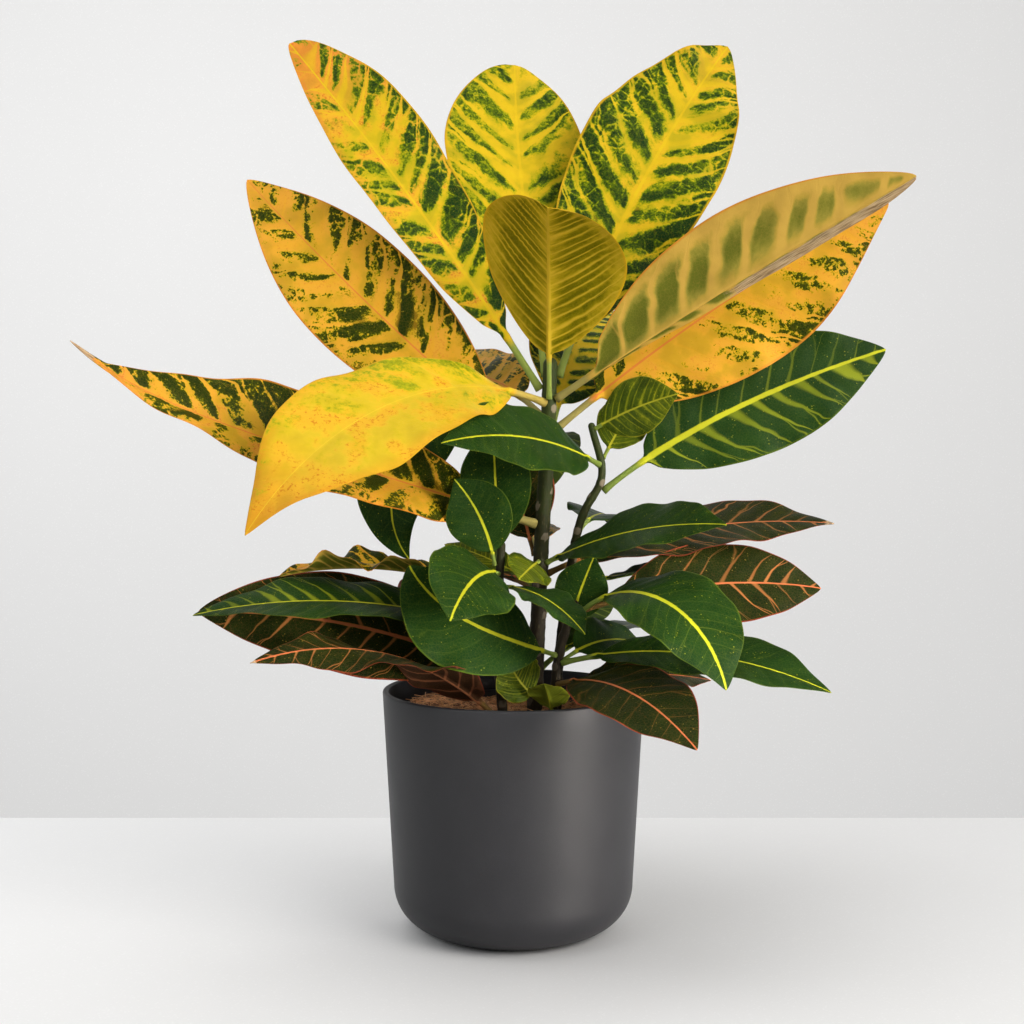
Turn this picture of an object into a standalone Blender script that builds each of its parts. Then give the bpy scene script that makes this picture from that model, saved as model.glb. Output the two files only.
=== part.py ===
"""Potted croton: a cachepot holding a nursery pot of potting mix, from which the stems of a croton rise.

Metres, +Z up. The origin is the middle of the cachepot's flat base. Headings are measured from +X towards +Y,
and -Y is the plant's front. Each leaf is one piece, with its petiole. It starts a hair's breadth from its stem.
"""
import math
from collections import namedtuple

import bmesh
import bpy
import numpy as np

# Driving dimensions -------------------------------------------------------------------------------------------
GAP = 0.0003                    # clearance left between touching pieces
HOLE_GAP = 0.0004               # clearance round each stem in the potting mix

POT_HEIGHT = 0.167
POT_TOP_RADIUS = 0.092
POT_BASE_RADIUS = 0.0845        # where the rounded corner meets the side
POT_CORNER_RADIUS = 0.030
POT_WALL = 0.004
POT_FLOOR = 0.006
POT_LIP_RADIUS = 0.0012         # rounding of the rim's two edges

LINER_TOP = 0.153               # the nursery pot's rim
LINER_TOP_RADIUS = 0.079
LINER_BASE_RADIUS = 0.054
LINER_WALL = 0.001
LINER_FLOOR = 0.0015
LINER_LIP = 0.002               # how far its rolled rim stands out
LINER_LIP_HEIGHT = 0.004
DRAIN_HOLE_RADIUS = 0.005
DRAIN_HOLE_CIRCLE = 0.036
DRAIN_HOLE_COUNT = 6

SOIL_EDGE = 0.146               # height of the potting mix at the nursery pot's wall
SOIL_CROWN = 0.149              # and at the middle
SOIL_DOME_RADIUS = 0.043        # where the dome is two thirds up

STEM_SIDES = 12
STEM_STEPS = 3                  # rings between two points of a stem's route
START_STEPS = 16                # finer steps that a petiole's place is picked from

PETIOLE_RADIUS = 0.0009         # of the smallest leaf's petiole
PETIOLE_GROWTH = 0.006          # added to the radius for each metre of blade
TIP_RADIUS = 0.0004
BLADE_THICKNESS = 0.0007
# Where the points round a full blade's cross-section lie, from the midrib (0) to its margins (1 and -1).
FLAT_ACROSS = (1, 0.5, 0, -0.5, -1, -0.5, 0, 0.5)
RIB_FLATNESS = 0.7              # height of the midrib over the petiole's where the blade is full
BLADE_STATIONS = (0, 0.04, 0.12, 0.25, 0.4, 0.55, 0.7, 0.82, 0.92, 0.98, 1)

# Stems: the route's points from below the surface of the mix to the tip, then the radius at both ends. ---------
Stem = namedtuple("Stem", "points base_radius tip_radius")
STEMS = {
    "main": Stem([(0.014, 0.004, 0.120), (0.017, 0.002, 0.200), (0.020, 0.000, 0.270), (0.024, 0.000, 0.340),
                  (0.026, 0.000, 0.395)], 0.0055, 0.0050),
    "right": Stem([(0.030, 0.006, 0.120), (0.032, 0.004, 0.180), (0.037, 0.000, 0.230), (0.047, -0.003, 0.285),
                   (0.062, -0.003, 0.317), (0.055, 0.000, 0.352)], 0.0035, 0.0025),
    "front": Stem([(-0.004, -0.028, 0.120), (-0.010, -0.030, 0.190), (-0.010, -0.030, 0.235),
                   (-0.008, -0.030, 0.270)], 0.0035, 0.0028),
    "low": Stem([(0.026, -0.026, 0.120), (0.030, -0.028, 0.185), (0.036, -0.030, 0.212),
                 (0.042, -0.032, 0.230)], 0.0034, 0.0028),
}

# Leaves: height is where the petiole leaves its stem, heading and rise its direction there, and droop how far it
# has turned down by the tip. bend puts the droop near the tip when it is over 1. sway turns the heading on the
# way. roll tilts the blade about its midrib, twist adds to it up to the tip, and fold lifts both halves. belly is
# where the blade is widest, and blunt over 1 makes pointed ends.
Leaf = namedtuple("Leaf", "name kind stem height heading rise droop length width petiole roll "
                          "fold belly blunt bend sway twist")
Leaf.__new__.__defaults__ = (10, 0.5, 1.5, 1, 0, 0)
LEAVES = [
    Leaf("crown_upper_left", "gold", "main", 0.378, 175, 58, 8, 0.258, 0.066, 0.043, -68, 8, 0.58, 1.4),
    Leaf("crown_back", "gold", "main", 0.388, 118, 75, 14, 0.226, 0.108, 0.035, 5, 10, 0.60, 1.3, 1, -28),
    Leaf("crown_front", "gold", "main", 0.372, 268, 83, 68, 0.126, 0.098, 0.030, -22, 15, 0.56, 1.4, 1.2),
    Leaf("crown_upper_right", "gold", "main", 0.388, 31, 68, 18, 0.258, 0.110, 0.035, 58, 6, 0.55, 1.4),
    Leaf("crown_right", "amber", "main", 0.350, 355, 40, 12, 0.238, 0.100, 0.035, 88, 3),
    Leaf("crown_right_front", "amber", "main", 0.372, 333, 31, 5, 0.246, 0.072, 0.032, -48, 35),
    Leaf("crown_left", "amber", "main", 0.332, 170, 39, -8, 0.246, 0.084, 0.045, -80, 5),
    Leaf("long_left", "amber", "main", 0.283, 195, 17, -25, 0.292, 0.084, 0.045, -50, 25, 0.46, 1.5, 6, 19),
    Leaf("yellow_front", "yellow", "main", 0.370, 225, 15, 67, 0.243, 0.093, 0.035, -32, 8),
    Leaf("inner_front", "striped", "right", 0.325, 228, 21, 32, 0.144, 0.058, 0.014, -50, 5, 0.42),
    Leaf("inner_rib", "red_rib", "main", 0.262, 140, 72, 5, 0.075, 0.054, 0.012, -50, 12),
    Leaf("young_right", "young", "right", 0.350, 330, 28, 16, 0.060, 0.040, 0.006, 85, 12),
    Leaf("green_right", "striped", "right", 0.310, 8, 41, 24, 0.195, 0.078, 0.035, 80, 5, 0.5, 1.5, 0.6),
    Leaf("mottled_young", "young", "right", 0.330, 42, 55, 10, 0.045, 0.036, 0.008, 48),
    Leaf("middle_right_front", "striped", "main", 0.257, 321, 25, 26, 0.138, 0.062, 0.010, 30, 8),
    Leaf("middle_right", "red_rib", "main", 0.248, 22, 23, 27, 0.187, 0.076, 0.025, 22, 5, 0.5, 1.5, 1, -40),
    Leaf("middle_right_low", "striped", "right", 0.240, 12, 12, 8, 0.085, 0.040, 0.025, 0),
    Leaf("red_rib_right", "red_rib", "low", 0.226, 9, 18, 27, 0.146, 0.064, 0.030, 54, 5),
    Leaf("hanging_right_front", "striped", "low", 0.222, 315, 44, 118, 0.125, 0.070, 0.033, 20),
    Leaf("low_right", "striped", "low", 0.190, 338, 16, 38, 0.160, 0.061, 0.025, 21, 12),
    Leaf("low_right_inner", "red_rib", "low", 0.168, 22, 16, 30, 0.100, 0.048, 0.020, 20, 12),
    Leaf("shade_right", "striped", "low", 0.190, 42, 26, 50, 0.075, 0.045, 0.015, 30, 12),
    Leaf("rim_right_front", "red_rib", "low", 0.174, 300, 17, 47, 0.140, 0.060, 0.020, 18, 5),
    Leaf("upright_inner", "striped", "right", 0.205, 320, 72, 10, 0.050, 0.036, 0.012, 130, 12),
    Leaf("bright_inner", "young", "main", 0.258, 252, -8, 6, 0.040, 0.034, 0.006, -35),
    Leaf("upright_left", "striped", "front", 0.262, 110, 84, 4, 0.080, 0.048, 0.012, -20, 12),
    Leaf("upright_left_front", "striped", "front", 0.257, 205, 80, 34, 0.058, 0.044, 0.008, -112, 12),
    Leaf("small_left_back", "young", "main", 0.238, 148, 29, 20, 0.060, 0.032, 0.020, -20, 12),
    Leaf("broad_left_front", "striped", "low", 0.195, 215, 19, -44, 0.112, 0.073, 0.012, -63, 3, 0.56, 1.5, 2.5, -45),
    Leaf("small_front_left", "striped", "front", 0.252, 248, 13, 60, 0.078, 0.062, 0.008, -38),
    Leaf("small_front_right", "striped", "front", 0.243, 315, 3, 44, 0.072, 0.040, 0.010, 0),
    Leaf("curled_left", "red_rib", "front", 0.238, 180, 22, 35, 0.124, 0.045, 0.025, 0, 25),
    Leaf("low_left_upper", "striped", "front", 0.212, 190, 20, 32, 0.178, 0.058, 0.025, -20, 12),
    Leaf("red_rib_left", "red_rib", "main", 0.166, 193, 30, 30, 0.202, 0.072, 0.035, -60, 6),
    Leaf("rim_left_front", "red_rib", "front", 0.152, 208, 47, 62, 0.170, 0.053, 0.020, 34, -8, 0.5, 1.5, 1, 0, -80),
    Leaf("sprout_left", "young", "low", 0.158, 195, 28, -45, 0.034, 0.036, 0.014, -75, 15),
    Leaf("sprout_right", "young", "low", 0.154, 256, 50, 10, 0.028, 0.028, 0.006, 0),
    Leaf("hanging_left", "striped", "main", 0.352, 180, 22, 150, 0.130, 0.052, 0.050, -80, 10, 0.5, 1.5, 1.2),
    Leaf("back_high", "gold", "main", 0.345, 75, 48, 40, 0.210, 0.085, 0.035, 30),
    Leaf("back_left_high", "amber", "main", 0.358, 122, 30, 45, 0.200, 0.080, 0.035, -20),
    Leaf("back_right_high", "amber", "main", 0.262, 100, 20, 35, 0.200, 0.078, 0.035, 20),
    Leaf("back_middle", "striped", "main", 0.338, 94, 16, 60, 0.210, 0.078, 0.040, 0),
    Leaf("back_right", "striped", "right", 0.278, 74, 14, 36, 0.140, 0.060, 0.030, 10),
    Leaf("back_left", "red_rib", "main", 0.235, 120, 15, 50, 0.190, 0.070, 0.030, 0),
    Leaf("back_low", "striped", "main", 0.215, 78, 15, 50, 0.190, 0.070, 0.030, 0),
    Leaf("back_left_low", "red_rib", "main", 0.190, 145, 25, 50, 0.170, 0.065, 0.030, 0),
    Leaf("back_right_low", "striped", "main", 0.180, 50, 25, 50, 0.160, 0.062, 0.030, 0),
]

# Colour, roughness and metallic value of each material.
FINISHES = {
    "gold": ((0.62, 0.42, 0.03), 0.38, 0.0),
    "amber": ((0.60, 0.28, 0.04), 0.40, 0.0),
    "yellow": ((0.80, 0.55, 0.03), 0.42, 0.0),
    "striped": ((0.03, 0.12, 0.02), 0.30, 0.0),
    "red_rib": ((0.05, 0.08, 0.03), 0.32, 0.0),
    "young": ((0.16, 0.28, 0.05), 0.38, 0.0),
    "bark": ((0.07, 0.05, 0.03), 0.70, 0.0),
    "glaze": ((0.045, 0.045, 0.05), 0.45, 0.0),
    "liner": ((0.02, 0.02, 0.02), 0.50, 0.0),
    "mix": ((0.10, 0.05, 0.025), 0.95, 0.0),
}


# Shared tools -------------------------------------------------------------------------------------------------
def make_material(name):
    colour, roughness, metallic = FINISHES[name]
    material = bpy.data.materials.new(name)
    material.use_nodes = True
    shader = material.node_tree.nodes["Principled BSDF"]
    shader.inputs["Base Color"].default_value = (*colour, 1)
    shader.inputs["Roughness"].default_value = roughness
    shader.inputs["Metallic"].default_value = metallic
    return material


def add_object(name, mesh_data, material):
    """An object made from a bmesh, in the scene, shaded smooth up to 40 degrees."""
    bmesh.ops.recalc_face_normals(mesh_data, faces=mesh_data.faces[:])
    mesh = bpy.data.meshes.new(name)
    mesh_data.to_mesh(mesh)
    mesh_data.free()
    mesh.shade_smooth()
    mesh.set_sharp_from_angle(angle=math.radians(40))
    mesh.materials.append(bpy.data.materials[material])
    thing = bpy.data.objects.new(name, mesh)
    bpy.context.scene.collection.objects.link(thing)
    return thing


def arc(centre, radius, start, end, steps):
    """Points of an arc in the profile plane, from one angle to another in degrees."""
    angles = [math.radians(start + (end - start) * i / steps) for i in range(steps + 1)]
    return [(centre[0] + radius * math.cos(a), centre[1] + radius * math.sin(a)) for a in angles]


def lathe(name, profile, steps, material):
    """A solid turned about Z from a profile of (radius, height) points that starts and ends on the axis."""
    turned = bmesh.new()
    points = [turned.verts.new((radius, 0, height)) for radius, height in profile]
    edges = [turned.edges.new(pair) for pair in zip(points, points[1:])]
    bmesh.ops.spin(turned, geom=points + edges, axis=(0, 0, 1), cent=(0, 0, 0), angle=2 * math.pi, steps=steps,
                   use_merge=True)
    bmesh.ops.remove_doubles(turned, verts=turned.verts[:], dist=1e-6)
    return add_object(name, turned, material)


def loft(name, rings, material):
    """A closed solid through rings of equal length, with a flat cap at each end."""
    solid = bmesh.new()
    loops = [[solid.verts.new(point) for point in ring] for ring in rings]
    for lower, upper in zip(loops, loops[1:]):
        for i in range(len(lower)):
            j = (i + 1) % len(lower)
            solid.faces.new((lower[i], lower[j], upper[j], upper[i]))
    solid.faces.new(loops[0][::-1])
    solid.faces.new(loops[-1])
    return add_object(name, solid, material)


def cut(target, cutters):
    """Boolean difference, applied when the object is read. The cutters are left out of the model."""
    for cutter in cutters:
        cutter.hide_render = True
        cutter.display_type = "WIRE"
        cutter.hide_set(True)
        modifier = target.modifiers.new("cut_" + cutter.name, "BOOLEAN")
        modifier.operation = "DIFFERENCE"
        modifier.solver = "EXACT"
        modifier.object = cutter


# Pots and potting mix -----------------------------------------------------------------------------------------
def cachepot():
    """The outer pot: a slightly tapered cup with a wide rounded corner and a thin rim."""
    inner_top = POT_TOP_RADIUS - POT_WALL
    inner_base = POT_BASE_RADIUS - POT_WALL
    inner_corner = POT_CORNER_RADIUS - POT_WALL
    lip = POT_LIP_RADIUS
    profile = [(0, 0)]
    profile += arc((POT_BASE_RADIUS - POT_CORNER_RADIUS, POT_CORNER_RADIUS), POT_CORNER_RADIUS, -90, 0, 7)
    profile += arc((POT_TOP_RADIUS - lip, POT_HEIGHT - lip), lip, 0, 90, 2)
    profile += arc((inner_top + lip, POT_HEIGHT - lip), lip, 90, 180, 2)
    profile += arc((inner_base - inner_corner, POT_FLOOR + inner_corner), inner_corner, 0, -90, 6)
    profile += [(0, POT_FLOOR)]
    lathe("pot", profile, 56, "glaze")


def liner_radius(height):
    """Outer radius of the nursery pot at a height."""
    base = POT_FLOOR + GAP
    return LINER_BASE_RADIUS + (LINER_TOP_RADIUS - LINER_BASE_RADIUS) * (height - base) / (LINER_TOP - base)


def nursery_pot():
    """The thin plastic pot that the plant grows in, with a rolled rim and drain holes."""
    base = POT_FLOOR + GAP
    floor = base + LINER_FLOOR
    profile = [
        (0, base),
        (LINER_BASE_RADIUS, base),
        (liner_radius(LINER_TOP - LINER_LIP_HEIGHT), LINER_TOP - LINER_LIP_HEIGHT),
        (LINER_TOP_RADIUS + LINER_LIP, LINER_TOP - LINER_LIP_HEIGHT),
        (LINER_TOP_RADIUS + LINER_LIP, LINER_TOP),
        (LINER_TOP_RADIUS - LINER_WALL, LINER_TOP),
        (liner_radius(floor) - LINER_WALL, floor),
        (0, floor),
    ]
    liner = lathe("nursery_pot", profile, 40, "liner")
    cutters = []
    for i in range(DRAIN_HOLE_COUNT):
        angle = 2 * math.pi * i / DRAIN_HOLE_COUNT
        bpy.ops.mesh.primitive_cylinder_add(
            vertices=12, radius=DRAIN_HOLE_RADIUS, depth=6 * LINER_WALL,
            location=(DRAIN_HOLE_CIRCLE * math.cos(angle), DRAIN_HOLE_CIRCLE * math.sin(angle), floor))
        cutter = bpy.context.object
        cutter.name = f"drain_cutter_{i}"
        cutters.append(cutter)
    cut(liner, cutters)


def potting_mix(stem_holes):
    """The root ball, gently domed, with a hole for each stem."""
    base = POT_FLOOR + GAP + LINER_FLOOR + GAP
    profile = [
        (0, base),
        (liner_radius(base) - LINER_WALL - 2 * GAP, base),
        (liner_radius(SOIL_EDGE) - LINER_WALL - GAP, SOIL_EDGE),
        (SOIL_DOME_RADIUS, (SOIL_EDGE + 2 * SOIL_CROWN) / 3),
        (0, SOIL_CROWN),
    ]
    cut(lathe("potting_mix", profile, 40, "mix"), stem_holes)


# Stems --------------------------------------------------------------------------------------------------------
def stem_route(stem, steps):
    """Centres and radii along a smooth curve through the stem's points (Catmull-Rom), with steps between two."""
    points = [np.array(p) for p in stem.points]
    points = [2 * points[0] - points[1]] + points + [2 * points[-1] - points[-2]]
    centres = []
    for before, a, b, after in zip(points, points[1:], points[2:], points[3:]):
        for i in range(steps):
            t = i / steps
            centres.append(0.5 * (2 * a + (b - before) * t + (2 * before - 5 * a + 4 * b - after) * t ** 2
                                  + (3 * a - before - 3 * b + after) * t ** 3))
    centres.append(points[-2])
    radii = np.linspace(stem.base_radius, stem.tip_radius, len(centres))
    return centres, radii


def tube_rings(centres, radii, sides):
    rings = []
    for i, (centre, radius) in enumerate(zip(centres, radii)):
        along = centres[min(i + 1, len(centres) - 1)] - centres[max(i - 1, 0)]
        along = along / np.linalg.norm(along)
        side = np.cross(along, (0, 1, 0))
        side = side / np.linalg.norm(side)
        other = np.cross(along, side)
        angles = [2 * math.pi * k / sides for k in range(sides)]
        rings.append([centre + radius * (math.cos(a) * side + math.sin(a) * other) for a in angles])
    return rings


def stems():
    """The stems, and a slightly wider cutter for the hole of each in the potting mix."""
    holes = []
    for name, stem in STEMS.items():
        centres, radii = stem_route(stem, STEM_STEPS)
        loft("stem_" + name, tube_rings(centres, radii, STEM_SIDES), "bark")
        below = range(1 + next(i for i, centre in enumerate(centres) if centre[2] > SOIL_CROWN + GAP))
        hole_centres = [centres[i] for i in below]
        hole_centres[0] = hole_centres[0] - np.array((0, 0, GAP))
        hole_radii = [radii[i] + HOLE_GAP for i in below]
        holes.append(loft("stem_hole_" + name, tube_rings(hole_centres, hole_radii, STEM_SIDES), "bark"))
    return holes


# Leaves -------------------------------------------------------------------------------------------------------
def petiole_radius(leaf):
    return PETIOLE_RADIUS + PETIOLE_GROWTH * leaf.length


def leaf_start(leaf):
    """Where the petiole begins: square off its stem's side, a hair's breadth from the bark."""
    centres, radii = stem_route(STEMS[leaf.stem], START_STEPS)
    nearest = min(range(1, len(centres) - 1), key=lambda i: abs(centres[i][2] - leaf.height))
    along = centres[nearest + 1] - centres[nearest - 1]
    along = along / np.linalg.norm(along)
    heading, rise = math.radians(leaf.heading), math.radians(leaf.rise)
    outward = np.array((math.cos(heading), math.sin(heading), 0))
    outward = outward - along * np.dot(outward, along)
    outward = outward / np.linalg.norm(outward)
    petiole = np.array((math.cos(rise) * math.cos(heading), math.cos(rise) * math.sin(heading), math.sin(rise)))
    overhang = petiole_radius(leaf) * math.sqrt(1 - np.dot(petiole, outward) ** 2)
    return centres[nearest] + outward * (radii[nearest] + GAP + overhang)


def leaf_spine(leaf, stations):
    """Points of the midrib at the given fractions of the whole length, with the across and up directions."""
    fine = np.linspace(0, 1, 121)

    def direction(t):
        rise = np.radians(leaf.rise - leaf.droop * t ** leaf.bend)
        heading = np.radians(leaf.heading + leaf.sway * t)
        return np.stack([np.cos(rise) * np.cos(heading), np.cos(rise) * np.sin(heading), np.sin(rise)], axis=-1)

    whole = leaf.petiole + leaf.length
    steps = (direction(fine[1:]) + direction(fine[:-1])) / 2 * whole / (len(fine) - 1)
    track = leaf_start(leaf) + np.vstack([(0, 0, 0), np.cumsum(steps, axis=0)])
    stations = np.asarray(stations, float)
    points = np.stack([np.interp(stations, fine, track[:, k]) for k in range(3)], axis=-1)
    along = direction(stations)
    heading = np.radians(leaf.heading + leaf.sway * stations)
    across = np.stack([-np.sin(heading), np.cos(heading), 0 * heading], axis=-1)
    up = np.cross(along, across)
    along_blade = np.clip((stations * whole - leaf.petiole) / leaf.length, 0, 1)
    roll = np.radians(leaf.roll + leaf.twist * along_blade)[:, None]
    return points, across * np.cos(roll) + up * np.sin(roll), up * np.cos(roll) - across * np.sin(roll)


def blade_outline(leaf, s):
    """Half the blade's width at a fraction s of its length."""
    base_power = leaf.blunt * leaf.belly
    tip_power = leaf.blunt * (1 - leaf.belly)
    peak = leaf.belly ** base_power * (1 - leaf.belly) ** tip_power
    return leaf.width / 2 * s ** base_power * (1 - s) ** tip_power / peak


def leaf_rings(leaf):
    """Cross-sections from the petiole's foot to the tip: round at first, then a thin folded blade."""
    whole = leaf.petiole + leaf.length
    blade = [(leaf.petiole + s * leaf.length) / whole for s in BLADE_STATIONS]
    stations = [0, leaf.petiole / whole / 2] + blade
    points, across, up = leaf_spine(leaf, stations)
    rings = []
    for i, t in enumerate(stations):
        s = min(max((t * whole - leaf.petiole) / leaf.length, 0), 1)
        rib = petiole_radius(leaf) + (TIP_RADIUS - petiole_radius(leaf)) * s
        outline = blade_outline(leaf, s)
        spread = min(1, outline / (4 * rib))
        half_width = rib + outline
        fold = math.radians(leaf.fold) * spread
        ring = []
        for k, flat_u in enumerate(FLAT_ACROSS):
            angle = 2 * math.pi * k / len(FLAT_ACROSS)
            round_u, round_h = math.cos(angle), math.sin(angle) * rib
            flat_h = math.copysign(BLADE_THICKNESS / 2, round_h) if abs(flat_u) == 0.5 else round_h * RIB_FLATNESS
            u = round_u + (flat_u - round_u) * spread
            height = round_h + (flat_h - round_h) * spread
            sideways = u * half_width
            ring.append(points[i] + across[i] * sideways * math.cos(fold)
                        + up[i] * (abs(sideways) * math.sin(fold) + height))
        rings.append(ring)
    return rings


def leaves():
    for leaf in LEAVES:
        loft("leaf_" + leaf.name, leaf_rings(leaf), leaf.kind)


def main():
    for thing in list(bpy.data.objects):
        bpy.data.objects.remove(thing)
    for name in FINISHES:
        make_material(name)
    cachepot()
    nursery_pot()
    potting_mix(stems())
    leaves()


main()
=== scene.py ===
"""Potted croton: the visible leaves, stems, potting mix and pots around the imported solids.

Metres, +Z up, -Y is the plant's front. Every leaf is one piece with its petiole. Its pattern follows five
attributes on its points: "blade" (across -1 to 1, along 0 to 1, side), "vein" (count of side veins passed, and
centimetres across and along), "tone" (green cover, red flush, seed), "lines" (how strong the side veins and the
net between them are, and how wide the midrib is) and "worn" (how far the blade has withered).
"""
import math
import random
from collections import namedtuple

import bpy
import numpy as np
from bpy.props import FloatProperty, FloatVectorProperty, IntProperty, PointerProperty
from bpy.types import Operator, Panel, PropertyGroup
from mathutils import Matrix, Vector, noise


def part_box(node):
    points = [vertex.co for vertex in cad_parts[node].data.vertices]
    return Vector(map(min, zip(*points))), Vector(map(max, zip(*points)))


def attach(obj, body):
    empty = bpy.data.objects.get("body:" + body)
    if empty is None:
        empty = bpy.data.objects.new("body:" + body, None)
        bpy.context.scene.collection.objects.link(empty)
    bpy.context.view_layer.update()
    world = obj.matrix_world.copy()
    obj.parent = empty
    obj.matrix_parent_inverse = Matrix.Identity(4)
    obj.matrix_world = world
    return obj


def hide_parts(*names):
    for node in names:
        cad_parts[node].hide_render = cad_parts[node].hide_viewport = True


bl_info = {
    "name": "Potted croton",
    "version": (1, 0, 0),
    "blender": (4, 5, 0),
    "location": "View3D > Sidebar > Croton",
    "description": "Builds a croton in a round cachepot around its packed solids",
    "category": "Add Mesh",
}

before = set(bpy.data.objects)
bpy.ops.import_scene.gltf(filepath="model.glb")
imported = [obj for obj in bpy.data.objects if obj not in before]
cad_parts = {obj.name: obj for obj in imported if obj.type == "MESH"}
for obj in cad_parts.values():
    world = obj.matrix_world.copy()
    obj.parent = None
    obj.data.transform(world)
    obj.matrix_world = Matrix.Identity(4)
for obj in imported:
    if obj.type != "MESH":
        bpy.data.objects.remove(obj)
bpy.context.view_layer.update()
POT_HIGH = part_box("pot")[1]
MIX_LOW, MIX_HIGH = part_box("potting_mix")
LINER_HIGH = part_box("nursery_pot")[1]

# Stems and leaves ---------------------------------------------------------------------------------------------
Stem = namedtuple("Stem", "points base_radius tip_radius")
STEMS = {
    "main": Stem([(0.014, 0.004, 0.120), (0.017, 0.002, 0.200), (0.020, 0.000, 0.270), (0.024, 0.000, 0.340),
                  (0.026, 0.000, 0.395)], 0.0055, 0.0050),
    "right": Stem([(0.030, 0.006, 0.120), (0.032, 0.004, 0.180), (0.037, 0.000, 0.230), (0.047, -0.003, 0.285),
                   (0.062, -0.003, 0.317), (0.055, 0.000, 0.352)], 0.0035, 0.0025),
    "front": Stem([(-0.004, -0.028, 0.120), (-0.010, -0.030, 0.190), (-0.010, -0.030, 0.235),
                   (-0.008, -0.030, 0.270)], 0.0035, 0.0028),
    "low": Stem([(0.026, -0.026, 0.120), (0.030, -0.028, 0.185), (0.036, -0.030, 0.212),
                 (0.042, -0.032, 0.230)], 0.0034, 0.0028),
}

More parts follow.
